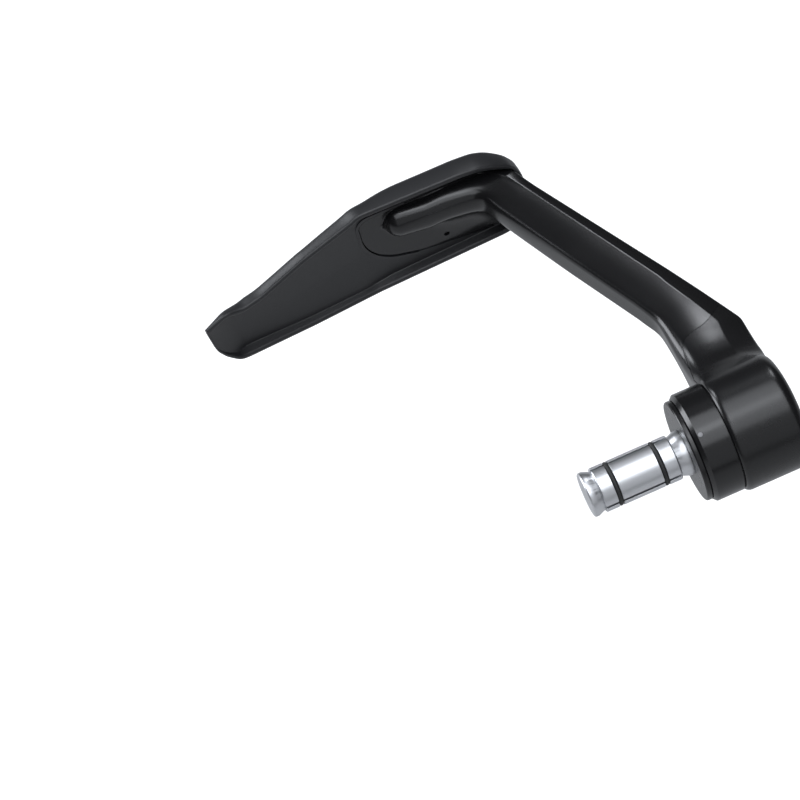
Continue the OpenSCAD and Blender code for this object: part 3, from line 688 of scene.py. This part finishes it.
def arm_rings(grow=0.0):
    """Rings of the straight arm, the elbow, and the flange with its pod."""
    s, p = props().sizes, places()
    elbow_run = s.arm_l - p["tangent"]
    elbow_l = s.elbow_r * (math.pi / 2 - ARM_LEAN)
    plate_share = Track(PLATE_SHARE, 2)
    start_x = p["elbow_centre"].x
    rings = []
    runs = [22 - elbow_run + k * (elbow_run - 31) / 8 for k in range(9)]
    runs += [-8.5 + 0.75 * k for k in range(46)]
    for run in runs:
        turn = ARM_LEAN + min(max(run, 0), elbow_l) / elbow_l * (math.pi / 2 - ARM_LEAN)
        f = (elbow_run + min(run, 0)) / s.arm_l
        w = s.arm_root_w + (s.arm_w - s.arm_root_w) * f
        bare = arm_section(w / 2 + grow, w / 2 + grow, s.arm_t / 2 + grow, 5.4 - 2.6 * f)
        x = start_x - max(run - elbow_l, 0)
        e = plate_share(run)
        if e:
            low = plate_share(run + 7) - e
            es = [e + low * window(k, 50, 62, 6) for k in range(SECTION_POINTS)]
            bare = [mix(a, b, e) for e, a, b in zip(es, bare, flange_section(x, grow))]
            reach = max(a for a, _ in bare)
            bend = min(max(run / elbow_l, 0), 1) ** 0.8
            target = w / 2 + grow + (FLANGE_BACK - w / 2) * bend
            bare = [(a * target / reach if a > 0 else a, z) for a, z in bare]
        if run <= 0:
            at = p["neck_corner"] + (elbow_run + run) * ARM_DIR
        elif run < elbow_l:
            at = p["elbow_centre"] + s.elbow_r * Vector((math.cos(turn), math.sin(turn)))
        else:
            at = Vector((x, p["elbow"].y))
        rings.append(stand(bare, at, turn))
    last = start_x - (runs[-1] - elbow_l)
    end = p["flange_x0"] - grow
    xs = [last - k for k in range(1, int(last - p["bend_x"] - 16))]
    pod_end = xs[-1]
    xs += [pod_end - 0.4 * k for k in range(1, int((pod_end - p["bend_x"] - 4) / 0.4))]
    last = xs[-1]
    xs += [last + (end - last) * (1 - (1 - k / 16) ** 1.7) for k in range(1, 17)]
    for x in xs:
        inside = max(x, x + grow * min((last - x) / 2, 1))
        rings.append(stand(flange_section(inside, grow), (x, p["elbow"].y), math.pi / 2))
    xs = [ring[40][0] for ring in rings]
    lands = [window(k, 14, 54, 3) for k in range(SECTION_POINTS)]
    rings = ease(rings, 5, [window(x, p["bend_x"] + 3, start_x - 4, 3) for x in xs], lands)
    return ease(rings, 50, [window(x, start_x - 8, start_x + 12, 6) for x in xs], lands)


# The wavy seam across the neck, from its corner, and the housing's clearance along it.
SEAM = [
    (60, 12), (9.6, 5.2), (5.8, 3), (2.4, -0.6), (-1.6, -2.8), (-7.6, -4.4), (-9.2, -5.4), (-10.6, -7.8),
    (-11.5, -13.4),
]
SEAM_GAP = 0.14


def arm_side(shift=0.0):
    """The region of the arm's plane that belongs to the forging, up to the wavy seam."""
    s, p = props().sizes, places()
    pts = [p["neck_corner"] + Vector((x * s.neck_w / 24, y)) for x, y in SEAM]
    pts.append(Vector((COLLAR_X1 + 0.2, s.collar_d / 2 + 1.2)))
    along = [0.0]
    for a, b in zip(pts, pts[1:]):
        along.append(along[-1] + (b - a).length)
    curve = Track([(u, tuple(q)) for u, q in zip(along, pts)], 2.4)
    out = [pts[0]] + [Vector(curve(along[1] + (along[-1] - along[1]) * i / 80)) for i in range(81)]
    out = [q + Vector((shift, -shift)) for q in out]
    x = COLLAR_X1 - 0.05 + shift
    out += [Vector(q) for q in ((x, s.collar_d / 2), (x, 0.5), (-FAR, 0.5), (-FAR, FAR), (110, FAR))]
    return [tuple(q) for q in out]


def flange_outline(grow=0.0):
    """Outline of the flange in the XZ plane."""
    p = places()
    x0, x1 = p["flange_x0"], p["flange_x1"]
    xs = [x0 + (x1 - x0) * (k / 40) ** 1.8 for k in range(41)]
    low = [(x, flange_limits(x)[0]) for x in xs]
    top = [(x, flange_limits(x)[1]) for x in reversed(xs)]
    ring = [Vector(q) for q in low + top]
    out = []
    for i, q in enumerate(ring):
        before, after = ring[i - 1], ring[(i + 1) % len(ring)]
        along = (after - before).normalized()
        out.append(tuple(q + grow * Vector((along.y, -along.x))))
    return out


def melt(obj, reach, passes, low_x):
    """Softens the crease between two merged forms, whose faces are numbered 0 and 1, outboard
    of low_x. Faces numbered 2 keep their place."""
    bm = bmesh.new()
    bm.from_mesh(obj.data)
    bmesh.ops.remove_doubles(bm, verts=bm.verts, dist=2e-6)
    crease = [e for e in bm.edges if {f.material_index for f in e.link_faces} == {0, 1}]
    tree = KDTree(max(len(crease), 1))
    for i, e in enumerate(crease):
        tree.insert((e.verts[0].co + e.verts[1].co) / 2, i)
    tree.balance()

    def free(v):
        return v.co.x > low_x * MM and not any(f.material_index == 2 for f in v.link_faces)

    close = [v for v in bm.verts if free(v) and tree.find(v.co)[2] < 0.3 * MM]
    bmesh.ops.remove_doubles(bm, verts=close, dist=0.15 * MM)
    near = {v: tree.find(v.co)[2] for v in bm.verts if free(v)}
    faces = [f for f in bm.faces if len(f.verts) > 4 and any(near.get(v, 1) < reach * MM for v in f.verts)]
    bmesh.ops.triangulate(bm, faces=faces)
    for k in range(passes):
        limit = reach * MM * (1 - k / passes)
        moved = [v for v, d in near.items() if v.is_valid and d < limit]
        bmesh.ops.smooth_vert(bm, verts=moved, factor=0.5, use_axis_x=True, use_axis_y=True, use_axis_z=True)
    for f in bm.faces:
        f.material_index = 0
    bm.to_mesh(obj.data)
    bm.free()


def long_profile(profile, step=1.0):
    """The same profile with its long straight runs cut into steps."""
    out = [profile[0]]
    for a, b in zip(profile, profile[1:]):
        n = max(1, int(math.hypot(b[0] - a[0], b[1] - a[1]) / step))
        out += [tuple(p + (q - p) * k / n for p, q in zip(a, b)) for k in range(1, n + 1)]
    return out


def number_faces(obj, index):
    """Gives all faces of an object one material number."""
    obj.data.materials.clear()
    for name in ("first form", "second form", "cut"):
        obj.data.materials.append(bpy.data.materials.get(name) or bpy.data.materials.new(name))
    for poly in obj.data.polygons:
        poly.material_index = index
    return obj


class GUARD_OT_arm(bpy.types.Operator):
    """Makes the forged arm with its collar, web, pod and flange"""

    bl_idname = "guard.arm"
    bl_label = "Arm"

    def execute(self, context):
        s, p = props().sizes, places()
        arm = number_faces(loft("arm_forging", neck_rings() + arm_rings()), 0)
        combine(arm, [prism("side", arm_side(), -60, 60)], "INTERSECT")
        r = s.collar_d / 2
        profile = [(COLLAR_X0 + COLLAR_EDGE, r), (COLLAR_X0, r - COLLAR_EDGE)]
        profile += [(COLLAR_X0, SPIGOT_WAY_R), (COLLAR_X1, SPIGOT_WAY_R), (COLLAR_X1, r)]
        foot = plate("flange_foot", flange_outline(-0.06), p["flange_y"] + 0.05, p["pocket_y"] - 0.4)
        combine(arm, [turned("collar", profile), foot], "UNION")
        way = rod("spigot_way", (COLLAR_X0 - 1, 0, 0), (COLLAR_X1 + GROOVE_W, 0, 0), SPIGOT_WAY_R, 96)
        combine(arm, [way], "DIFFERENCE")
        x, z = p["lower_screw"]
        pilot = rod("pilot", (x, p["flange_y"] - 2, z), (x, p["pocket_y"] + 1, z), PILOT_R, 32)
        pin_at = Vector((COLLAR_X0 + COLLAR_EDGE + 1, 0, 0))
        out = Vector((0, -math.sin(PIN_ANGLE), math.cos(PIN_ANGLE)))
        pin = rod("pin_hole", pin_at + PIN_FOOT * out, pin_at + (r + 4) * out, PIN_R, 32)
        combine(arm, [pilot, pin], "DIFFERENCE")
        soften(arm, 0.2, 30)
        finish_piece(arm, anodised(), "arm")
        return {"FINISHED"}


class GUARD_OT_housing(bpy.types.Operator):
    """Makes the end housing with the outer half of the neck"""

    bl_idname = "guard.housing"
    bl_label = "End housing"

    def execute(self, context):
        s, p = props().sizes, places()
        x1, r, e = COLLAR_X1 + s.housing_l, s.housing_d / 2, s.housing_edge
        g, floor_r = COLLAR_X1 + GROOVE_W, r - GROOVE_DEPTH
        profile = [(COLLAR_X1, 0), (COLLAR_X1, floor_r), (g, floor_r)]
        for a in [math.radians(9 * k) for k in range(11)]:
            profile.append((g + SHOULDER_W * (1 - math.cos(a)), r - SHOULDER_DROP * (1 - math.sin(a))))
        profile += arc((x1 - e, r - e), e, 90, 0, 12) + [(x1, 0)]
        housing = number_faces(turned("end_housing_body", long_profile(profile)), 0)
        neck = number_faces(loft("neck", neck_rings() + arm_rings()[:3]), 1)
        jx, jy = p["neck_x"], s.neck_y - 8
        seat = rod("screw_seat", (jx, jy, -20), (jx, jy, JOINT_SEAT_Z), JOINT_SEAT_R, 48)
        combine(neck, [number_faces(seat, 2)], "DIFFERENCE")
        combine(housing, [neck], "UNION")
        other_side = prism("other_side", arm_side(SEAM_GAP), -60, 60)
        combine(housing, [number_faces(other_side, 2)], "DIFFERENCE")
        combine(housing, [rod("spigot", (COLLAR_X0, 0, 0), (COLLAR_X1 + 2, 0, 0), SPIGOT_R, 96)], "UNION")
        cuts = [
            rod("bolt_way", (0, 0, 0), (60, 0, 0), BOLT_WAY_R, 64),
            rod("head_way", (x1 - HEAD_WAY_DEPTH, 0, 0), (60, 0, 0), HEAD_WAY_R, 96),
        ]
        combine(housing, [number_faces(cut, 2) for cut in cuts], "DIFFERENCE")
        melt(housing, 6.0, 34, g + 1.2)
        soften(housing, 0.2, 30)
        finish_piece(housing, housing_black(), "end_housing")
        return {"FINISHED"}


# The blade


def blade_tables():
    """Outline and depth of the blade over the distance u outboard of its bend."""
    s, p = props().sizes, places()
    top, low = p["rim_top"], p["rim_bottom"]

    def wing(f):
        return -f * s.wing_l

    def panel(d):
        return s.panel_l - d

    pd, wd, fd = s.panel_depth, s.wing_depth, s.floor_depth
    return {
        "top": Track([(wing(1), top - 8.8), (wing(0.87), top - 6.6), (wing(0.77), top - 9.2),
                      (wing(0.65), top - 8.9), (wing(0.36), top - 4), (wing(0.07), top - 1.2), (0, top),
                      (panel(21), top - 0.9), (panel(14), top - 1.8), (panel(9), top - 3.8),
                      (panel(3.4), top - 7.1), (panel(1.2), top - 9.8), (panel(0), top - 15)], 2.4),
        "low": Track([(wing(1), low + 31.4), (wing(0.98), low + 19.2), (wing(0.88), low + 10.1),
                      (wing(0.83), low + 9.1), (wing(0.41), low + 4), (0, low), (panel(10), low + 2.2),
                      (panel(2.6), low + 4.4), (panel(0.9), low + 7.9), (panel(0), low + 13.5)], 2.4),
        "depth": Track([(wing(1), 1.7), (wing(0.94), 2.5), (wing(0.87), wd - 2.4), (wing(0.77), wd),
                        (2, wd), (12, pd - 0.8), (panel(26), pd - 0.5), (panel(10), pd), (panel(5), pd - 1.6),
                        (panel(2), pd - 3.4), (panel(0), pd - 4.6)], 4),
        "floor": Track([(wing(0.98), 0.3), (wing(0.87), fd - 1.2), (wing(0.81), fd), (panel(2.7), fd),
                        (panel(2.2), 0.3)], 0.5),
        "crease": Track([(wing(0.75), 0), (wing(0.45), s.crease * 0.6), (wing(0.07), s.crease), (6, 0)], 3),
        "bulge": Track([(-20, 0), (-3, 2.8), (3, 2.8), (12, 0)], 5),
        "draft": Track([(wing(1), 30), (wing(0.94), 26), (wing(0.87), 25), (wing(0.8), 17),
                        (wing(0.72), 11)], 3),
    }


def fillet(corner, before, after, r, steps=6):
    """A rounded corner between the directions from corner to before and after."""
    c, a, b = Vector(corner), Vector(before), Vector(after)
    da, db = (a - c).normalized(), (b - c).normalized()
    half = da.angle(db) / 2
    cut = min(r / math.tan(half), (a - c).length * 0.48, (b - c).length * 0.48)
    p0, p2 = c + cut * da, c + cut * db
    pull = c * 0.75 + (p0 + p2) * 0.125
    ts = [i / steps for i in range(steps + 1)]
    return [tuple((1 - t) ** 2 * p0 + 2 * t * (1 - t) * pull + t * t * p2) for t in ts]


def tray_section(tables, u):
    """Closed section of the tray at u, as (depth, height) points."""
    s = props().sizes
    zt, zb = tables["top"](u), tables["low"](u)
    d, k, f, b = tables["depth"](u), tables["crease"](u), tables["floor"](u), tables["bulge"](u)
    h = zt - zb
    w, r = min(s.wall, h * 0.25), min(3.0, d * 0.5, h * 0.15)
    it = min(d * math.tan(math.radians(tables["draft"](u))), h * 0.3)
    ib, db = d * math.tan(math.radians(6)), d - k
    zk = zb + 0.45 * h
    zh = zk + 0.84 * (zt - it - r - zk)
    q = min(0.4, f * 0.5)
    jt, jb = f * math.tan(math.radians(11)), f * math.tan(math.radians(6))
    fb = f - min(k, f) * 0.6
    rim = min(0.9, w * 0.42)
    outside = [((0, zb), rim), ((db, zb + ib), r), ((d + b, zk), 3.0), ((d + b, zh), 2.0)]
    outside += [((d, zt - it), r), ((0, zt), rim)]
    inside = [((0, zt - w), rim), ((f, zt - w - jt), q), ((f, zk), 0.8)]
    inside += [((fb, zb + w + jb), q), ((0, zb + w), rim)]
    ring = outside + inside
    pts = []
    for i, (c, rad) in enumerate(ring):
        pts += fillet(c, ring[i - 1][0], ring[(i + 1) % len(ring)][0], rad)
    return pts


def tray_place(u, pts):
    """Puts a section at its place along the blade."""
    s, p = props().sizes, places()
    bend, soft = s.wing_bend, 1.3
    a = 0.0 if u >= soft else bend if u <= -soft else bend * (soft - u) / (2 * soft)
    if u >= soft:
        at = (p["bend_x"] + u, p["rim_y"])
    elif u <= -soft:
        at = (p["bend_x"] + u * math.cos(bend), p["rim_y"] + u * math.sin(bend))
    else:
        t = (soft - u) / (2 * soft)
        q1 = Vector((p["bend_x"], p["rim_y"]))
        q0, q2 = q1 + Vector((soft, 0)), q1 - soft * Vector((math.cos(bend), math.sin(bend)))
        at = (1 - t) ** 2 * q0 + 2 * t * (1 - t) * q1 + t * t * q2
    return [(at[0] - x * math.sin(a), at[1] + x * math.cos(a), z) for x, z in pts]


class GUARD_OT_blade(bpy.types.Operator):
    """Makes the moulded blade with its rim, crease and pocket"""

    bl_idname = "guard.blade"
    bl_label = "Blade"

    def execute(self, context):
        s, p = props().sizes, places()
        tables = blade_tables()
        us, u = [], -s.wing_l
        while u < s.panel_l - 0.1:
            us.append(u)
            tip = u + s.wing_l
            end = s.panel_l - u
            u += 0.2 if tip < 2 or end < 3 else 0.5 if tip < 14 or end < 12 else 1.0
        us.append(s.panel_l)
        blade = loft("blade_tray", [tray_place(u, tray_section(tables, u)) for u in us])
        rib = plate("rib", flange_outline(1.3), p["flange_y"] - 0.4, p["pocket_y"])
        x, z0, z1 = p["flange_x0"] + 17, p["rim_bottom"] + 4, p["rim_top"] - 5
        limit = [(x - 30, z0), (x, z0), (x, z1), (x - 30, z1)]
        combine(rib, [plate("rib_limit", limit, 90, 160)], "INTERSECT")
        combine(blade, [rib], "UNION")
        pocket = plate("pocket", flange_outline(POCKET_GAP), p["rim_y"] - 6, p["pocket_y"])
        combine(blade, [pocket, loft("arm_way", arm_rings(POCKET_GAP)[9:])], "DIFFERENCE")
        seat_y = p["panel_y"] - BLADE_SEAT_DEPTH
        for x, z in (p["upper_screw"], p["lower_screw"]):
            way = rod("way", (x, p["pocket_y"] - 1, z), (x, 200, z), BLADE_WAY_R, 48)
            seat = rod("seat", (x, seat_y, z), (x, 200, z), BLADE_SEAT_R, 64)
            combine(blade, [way, seat], "DIFFERENCE")
        soften(blade, 0.1, 36, 2)
        finish_piece(blade, nylon(), "blade")
        return {"FINISHED"}


# The small pieces keep their solids' shapes


def dress(node, material, width=0.12, sharp=28):
    """A merged, softened copy of a solid that stands for it."""
    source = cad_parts[node]
    copy = link(node + "_piece", source.data.copy())
    bm = bmesh.new()
    bm.from_mesh(copy.data)
    bmesh.ops.remove_doubles(bm, verts=bm.verts, dist=1e-6)
    bmesh.ops.dissolve_limit(bm, angle_limit=math.radians(0.6), verts=bm.verts, edges=bm.edges)
    bm.to_mesh(copy.data)
    bm.free()
    soften(copy, width, sharp, 2)
    return finish_piece(copy, material, node)


def o_ring_tree():
    """Geometry nodes that run a round cord round the bar's axis."""
    name = "O-ring"
    if name in bpy.data.node_groups:
        return bpy.data.node_groups[name]
    tree = bpy.data.node_groups.new(name, "GeometryNodeTree")
    for label in ("Ring radius", "Cord radius", "Place"):
        tree.interface.new_socket(name=label, in_out="INPUT", socket_type="NodeSocketFloat")
    tree.interface.new_socket(name="Material", in_out="INPUT", socket_type="NodeSocketMaterial")
    tree.interface.new_socket(name="Geometry", in_out="OUTPUT", socket_type="NodeSocketGeometry")
    gin, gout = tree.nodes.new("NodeGroupInput"), tree.nodes.new("NodeGroupOutput")
    path = tree.nodes.new("GeometryNodeCurvePrimitiveCircle")
    path.inputs["Resolution"].default_value = 120
    cord = tree.nodes.new("GeometryNodeCurvePrimitiveCircle")
    cord.inputs["Resolution"].default_value = 30
    sweep = tree.nodes.new("GeometryNodeCurveToMesh")
    place = tree.nodes.new("ShaderNodeCombineXYZ")
    move = tree.nodes.new("GeometryNodeTransform")
    move.inputs["Rotation"].default_value = (0, math.pi / 2, 0)
    realize = tree.nodes.new("GeometryNodeRealizeInstances")
    paint = tree.nodes.new("GeometryNodeSetMaterial")
    links = [
        (gin.outputs["Ring radius"], path.inputs["Radius"]),
        (gin.outputs["Cord radius"], cord.inputs["Radius"]),
        (gin.outputs["Place"], place.inputs["X"]),
        (gin.outputs["Material"], paint.inputs["Material"]),
        (path.outputs["Curve"], sweep.inputs["Curve"]),
        (cord.outputs["Curve"], sweep.inputs["Profile Curve"]),
        (sweep.outputs["Mesh"], move.inputs["Geometry"]),
        (place.outputs["Vector"], move.inputs["Translation"]),
        (move.outputs["Geometry"], realize.inputs["Geometry"]),
        (realize.outputs["Geometry"], paint.inputs["Geometry"]),
        (paint.outputs["Geometry"], gout.inputs["Geometry"]),
    ]
    for a, b in links:
        tree.links.new(a, b)
    return tree


def o_ring(node):
    """A rubber ring that fills its solid's box, as a plain mesh."""
    low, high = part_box(node)
    cord_r = (high[0] - low[0]) / 2
    obj = link(node + "_piece", bpy.data.meshes.new(node + "_piece"))
    mod = obj.modifiers.new("ring", "NODES")
    tree = o_ring_tree()
    mod.node_group = tree
    values = {
        "Ring radius": high[2] - cord_r,
        "Cord radius": cord_r,
        "Place": (low[0] + high[0]) / 2,
        "Material": rubber(),
    }
    for item in tree.interface.items_tree:
        if item.in_out == "INPUT":
            mod[item.identifier] = values[item.name]
    bpy.context.view_layer.update()
    depsgraph = bpy.context.evaluated_depsgraph_get()
    obj.data = bpy.data.meshes.new_from_object(obj.evaluated_get(depsgraph))
    obj.modifiers.clear()
    bm = bmesh.new()
    bm.from_mesh(obj.data)
    bmesh.ops.recalc_face_normals(bm, faces=bm.faces)
    bm.to_mesh(obj.data)
    bm.free()
    soften(obj, 0)
    return finish_piece(obj, rubber(), node)


class GUARD_OT_bar_end(bpy.types.Operator):
    """Dresses the spacer, the index pin, the bolt and its washers"""

    bl_idname = "guard.bar_end"
    bl_label = "Bar end"

    def execute(self, context):
        dress("spacer_ring", housing_black(), 0.15)
        dress("index_pin", steel_bright(), 0.06)
        dress("joint_screw", steel_black())
        dress("main_bolt", steel_zinc(), 0.15)
        dress("flat_washer", steel_zinc(), 0.1)
        dress("spring_washer", steel_zinc(), 0.08)
        return {"FINISHED"}


class GUARD_OT_plug(bpy.types.Operator):
    """Dresses the expanding bar plug"""

    bl_idname = "guard.plug"
    bl_label = "Bar plug"

    def execute(self, context):
        dress("outer_cone", plain_aluminium())
        dress("cone_nut", plain_aluminium())
        for i in (1, 2, 3):
            dress("sleeve_segment_%d" % i, plain_aluminium(), 0.1)
        for end in ("inner", "outer"):
            o_ring("rubber_ring_" + end)
        return {"FINISHED"}


class GUARD_OT_screws(bpy.types.Operator):
    """Dresses the blade screws and their washers"""

    bl_idname = "guard.screws"
    bl_label = "Blade screws"

    def execute(self, context):
        for end in ("upper", "lower"):
            dress("blade_screw_" + end, steel_black(), 0.1)
            dress("screw_washer_" + end, steel_black(), 0.08)
        return {"FINISHED"}


# Stage


class GUARD_OT_stage(bpy.types.Operator):
    """Sets the camera, the lights, the floor and the world"""

    bl_idname = "guard.stage"
    bl_label = "Stage"

    def execute(self, context):
        st = props().stage
        scene = context.scene
        scene.view_settings.view_transform = "Standard"

        cam = bpy.data.objects.new("camera", bpy.data.cameras.new("camera"))
        cam.data.lens = st.lens
        cam.data.sensor_width = 36
        cam.location = st.camera_place
        cam.rotation_euler = Euler(st.camera_turn)
        cam.data.clip_start, cam.data.clip_end = 0.01, 20
        scene.collection.objects.link(cam)
        scene.camera = cam

        world = scene.world or bpy.data.worlds.new("studio")
        scene.world = world
        world.use_nodes = True
        nodes, links = world.node_tree.nodes, world.node_tree.links
        nodes.clear()
        path = nodes.new("ShaderNodeLightPath")
        light = nodes.new("ShaderNodeBackground")
        light.inputs["Color"].default_value = (0.96, 0.98, 1, 1)
        light.inputs["Strength"].default_value = st.world_light
        seen = nodes.new("ShaderNodeBackground")
        seen.inputs["Color"].default_value = (1, 1, 1, 1)
        seen.inputs["Strength"].default_value = 1
        mix = nodes.new("ShaderNodeMixShader")
        out = nodes.new("ShaderNodeOutputWorld")
        links.new(path.outputs["Is Camera Ray"], mix.inputs["Fac"])
        links.new(light.outputs[0], mix.inputs[1])
        links.new(seen.outputs[0], mix.inputs[2])
        links.new(mix.outputs[0], out.inputs["Surface"])

        self.lamp("front_light", -27, 30, 16, 20, st.front_light)
        self.lamp("top_light", 60, 84, 34, 34, st.top_light)
        self.lamp("side_light", 31, 43, 10, 12, st.side_light)
        self.lamp("left_light", -58, 12, 26, 36, st.left_light)
        self.lamp("back_light", 178, 68, 60, 36, st.back_light)
        self.lamp("low_light", 178, 24, 70, 44, st.low_light)
        self.floor(st)
        return {"FINISHED"}

    def lamp(self, name, azimuth, height, wide, tall, brightness):
        """A soft light in a direction, in degrees from straight ahead to the right and up, with
        its spread in degrees and its brightness as the guard sees it."""
        far, target = 1.6, Vector((-0.01, 0.07, 0))
        a, h = math.radians(azimuth), math.radians(height)
        out = Vector((math.sin(a) * math.cos(h), math.cos(a) * math.cos(h), math.sin(h)))
        lamp = bpy.data.objects.new(name, bpy.data.lights.new(name, "AREA"))
        lamp.data.shape = "RECTANGLE"
        lamp.data.color = (0.92, 0.95, 1)
        lamp.data.size = 2 * far * math.tan(math.radians(wide / 2))
        lamp.data.size_y = 2 * far * math.tan(math.radians(tall / 2))
        lamp.data.energy = brightness * math.pi * lamp.data.size * lamp.data.size_y
        lamp.location = target + far * out
        lamp.rotation_euler = (-out).to_track_quat("-Z", "Y").to_euler()
        bpy.context.scene.collection.objects.link(lamp)

    def floor(self, st):
        """A wide pale floor that shows white to the camera and keeps a soft shadow."""
        z, half = st.floor_z, 6.0
        mesh = bpy.data.meshes.new("floor")
        corners = [(-half, -half, z), (half, -half, z), (half, half, z), (-half, half, z)]
        mesh.from_pydata(corners, [], [(0, 1, 2, 3)])
        floor = link("floor", mesh)
        mat = bpy.data.materials.new("Pale floor")
        mat.use_nodes = True
        nodes, links = mat.node_tree.nodes, mat.node_tree.links
        surface = nodes["Principled BSDF"]
        surface.inputs["Base Color"].default_value = (0.55, 0.55, 0.55, 1)
        surface.inputs["Roughness"].default_value = 0.9
        path = nodes.new("ShaderNodeLightPath")
        glossy = nodes.new("ShaderNodeMath")
        glossy.operation = "MULTIPLY"
        glossy.inputs[1].default_value = st.floor_shine
        links.new(path.outputs["Is Glossy Ray"], glossy.inputs[0])
        glow = nodes.new("ShaderNodeMath")
        glow.operation = "MULTIPLY_ADD"
        glow.inputs[1].default_value = st.floor_glow
        links.new(path.outputs["Is Camera Ray"], glow.inputs[0])
        links.new(glossy.outputs[0], glow.inputs[2])
        surface.inputs["Emission Color"].default_value = (1, 1, 1, 1)
        links.new(glow.outputs[0], surface.inputs["Emission Strength"])
        floor.data.materials.append(mat)


class GUARD_PT_panel(bpy.types.Panel):
    """Lists the guard's settings and steps"""

    bl_idname = "GUARD_PT_panel"
    bl_label = "Lever Guard"
    bl_space_type = "VIEW_3D"
    bl_region_type = "UI"
    bl_category = "Lever Guard"

    def draw(self, context):
        guard = context.scene.lever_guard
        for group in (guard.sizes, guard.finish, guard.stage):
            box = self.layout.box()
            for name in group.__annotations__:
                box.prop(group, name)
        self.layout.prop(guard, "facets")
        for op in OPERATORS:
            self.layout.operator(op.bl_idname)


OPERATORS = (
    GUARD_OT_stage,
    GUARD_OT_arm,
    GUARD_OT_housing,
    GUARD_OT_blade,
    GUARD_OT_bar_end,
    GUARD_OT_plug,
    GUARD_OT_screws,
)
CLASSES = (GuardSizes, GuardFinish, GuardStage, LeverGuard) + OPERATORS + (GUARD_PT_panel,)


def register():
    for cls in CLASSES:
        bpy.utils.register_class(cls)
    bpy.types.Scene.lever_guard = PointerProperty(type=LeverGuard)


def unregister():
    del bpy.types.Scene.lever_guard
    for cls in reversed(CLASSES):
        bpy.utils.unregister_class(cls)


def main():
    """Builds the whole scene."""
    register()
    for op in OPERATORS:
        group, name = op.bl_idname.split(".")
        getattr(getattr(bpy.ops, group), name)()
    bpy.context.view_layer.update()


if __name__ == "__main__":
    main()
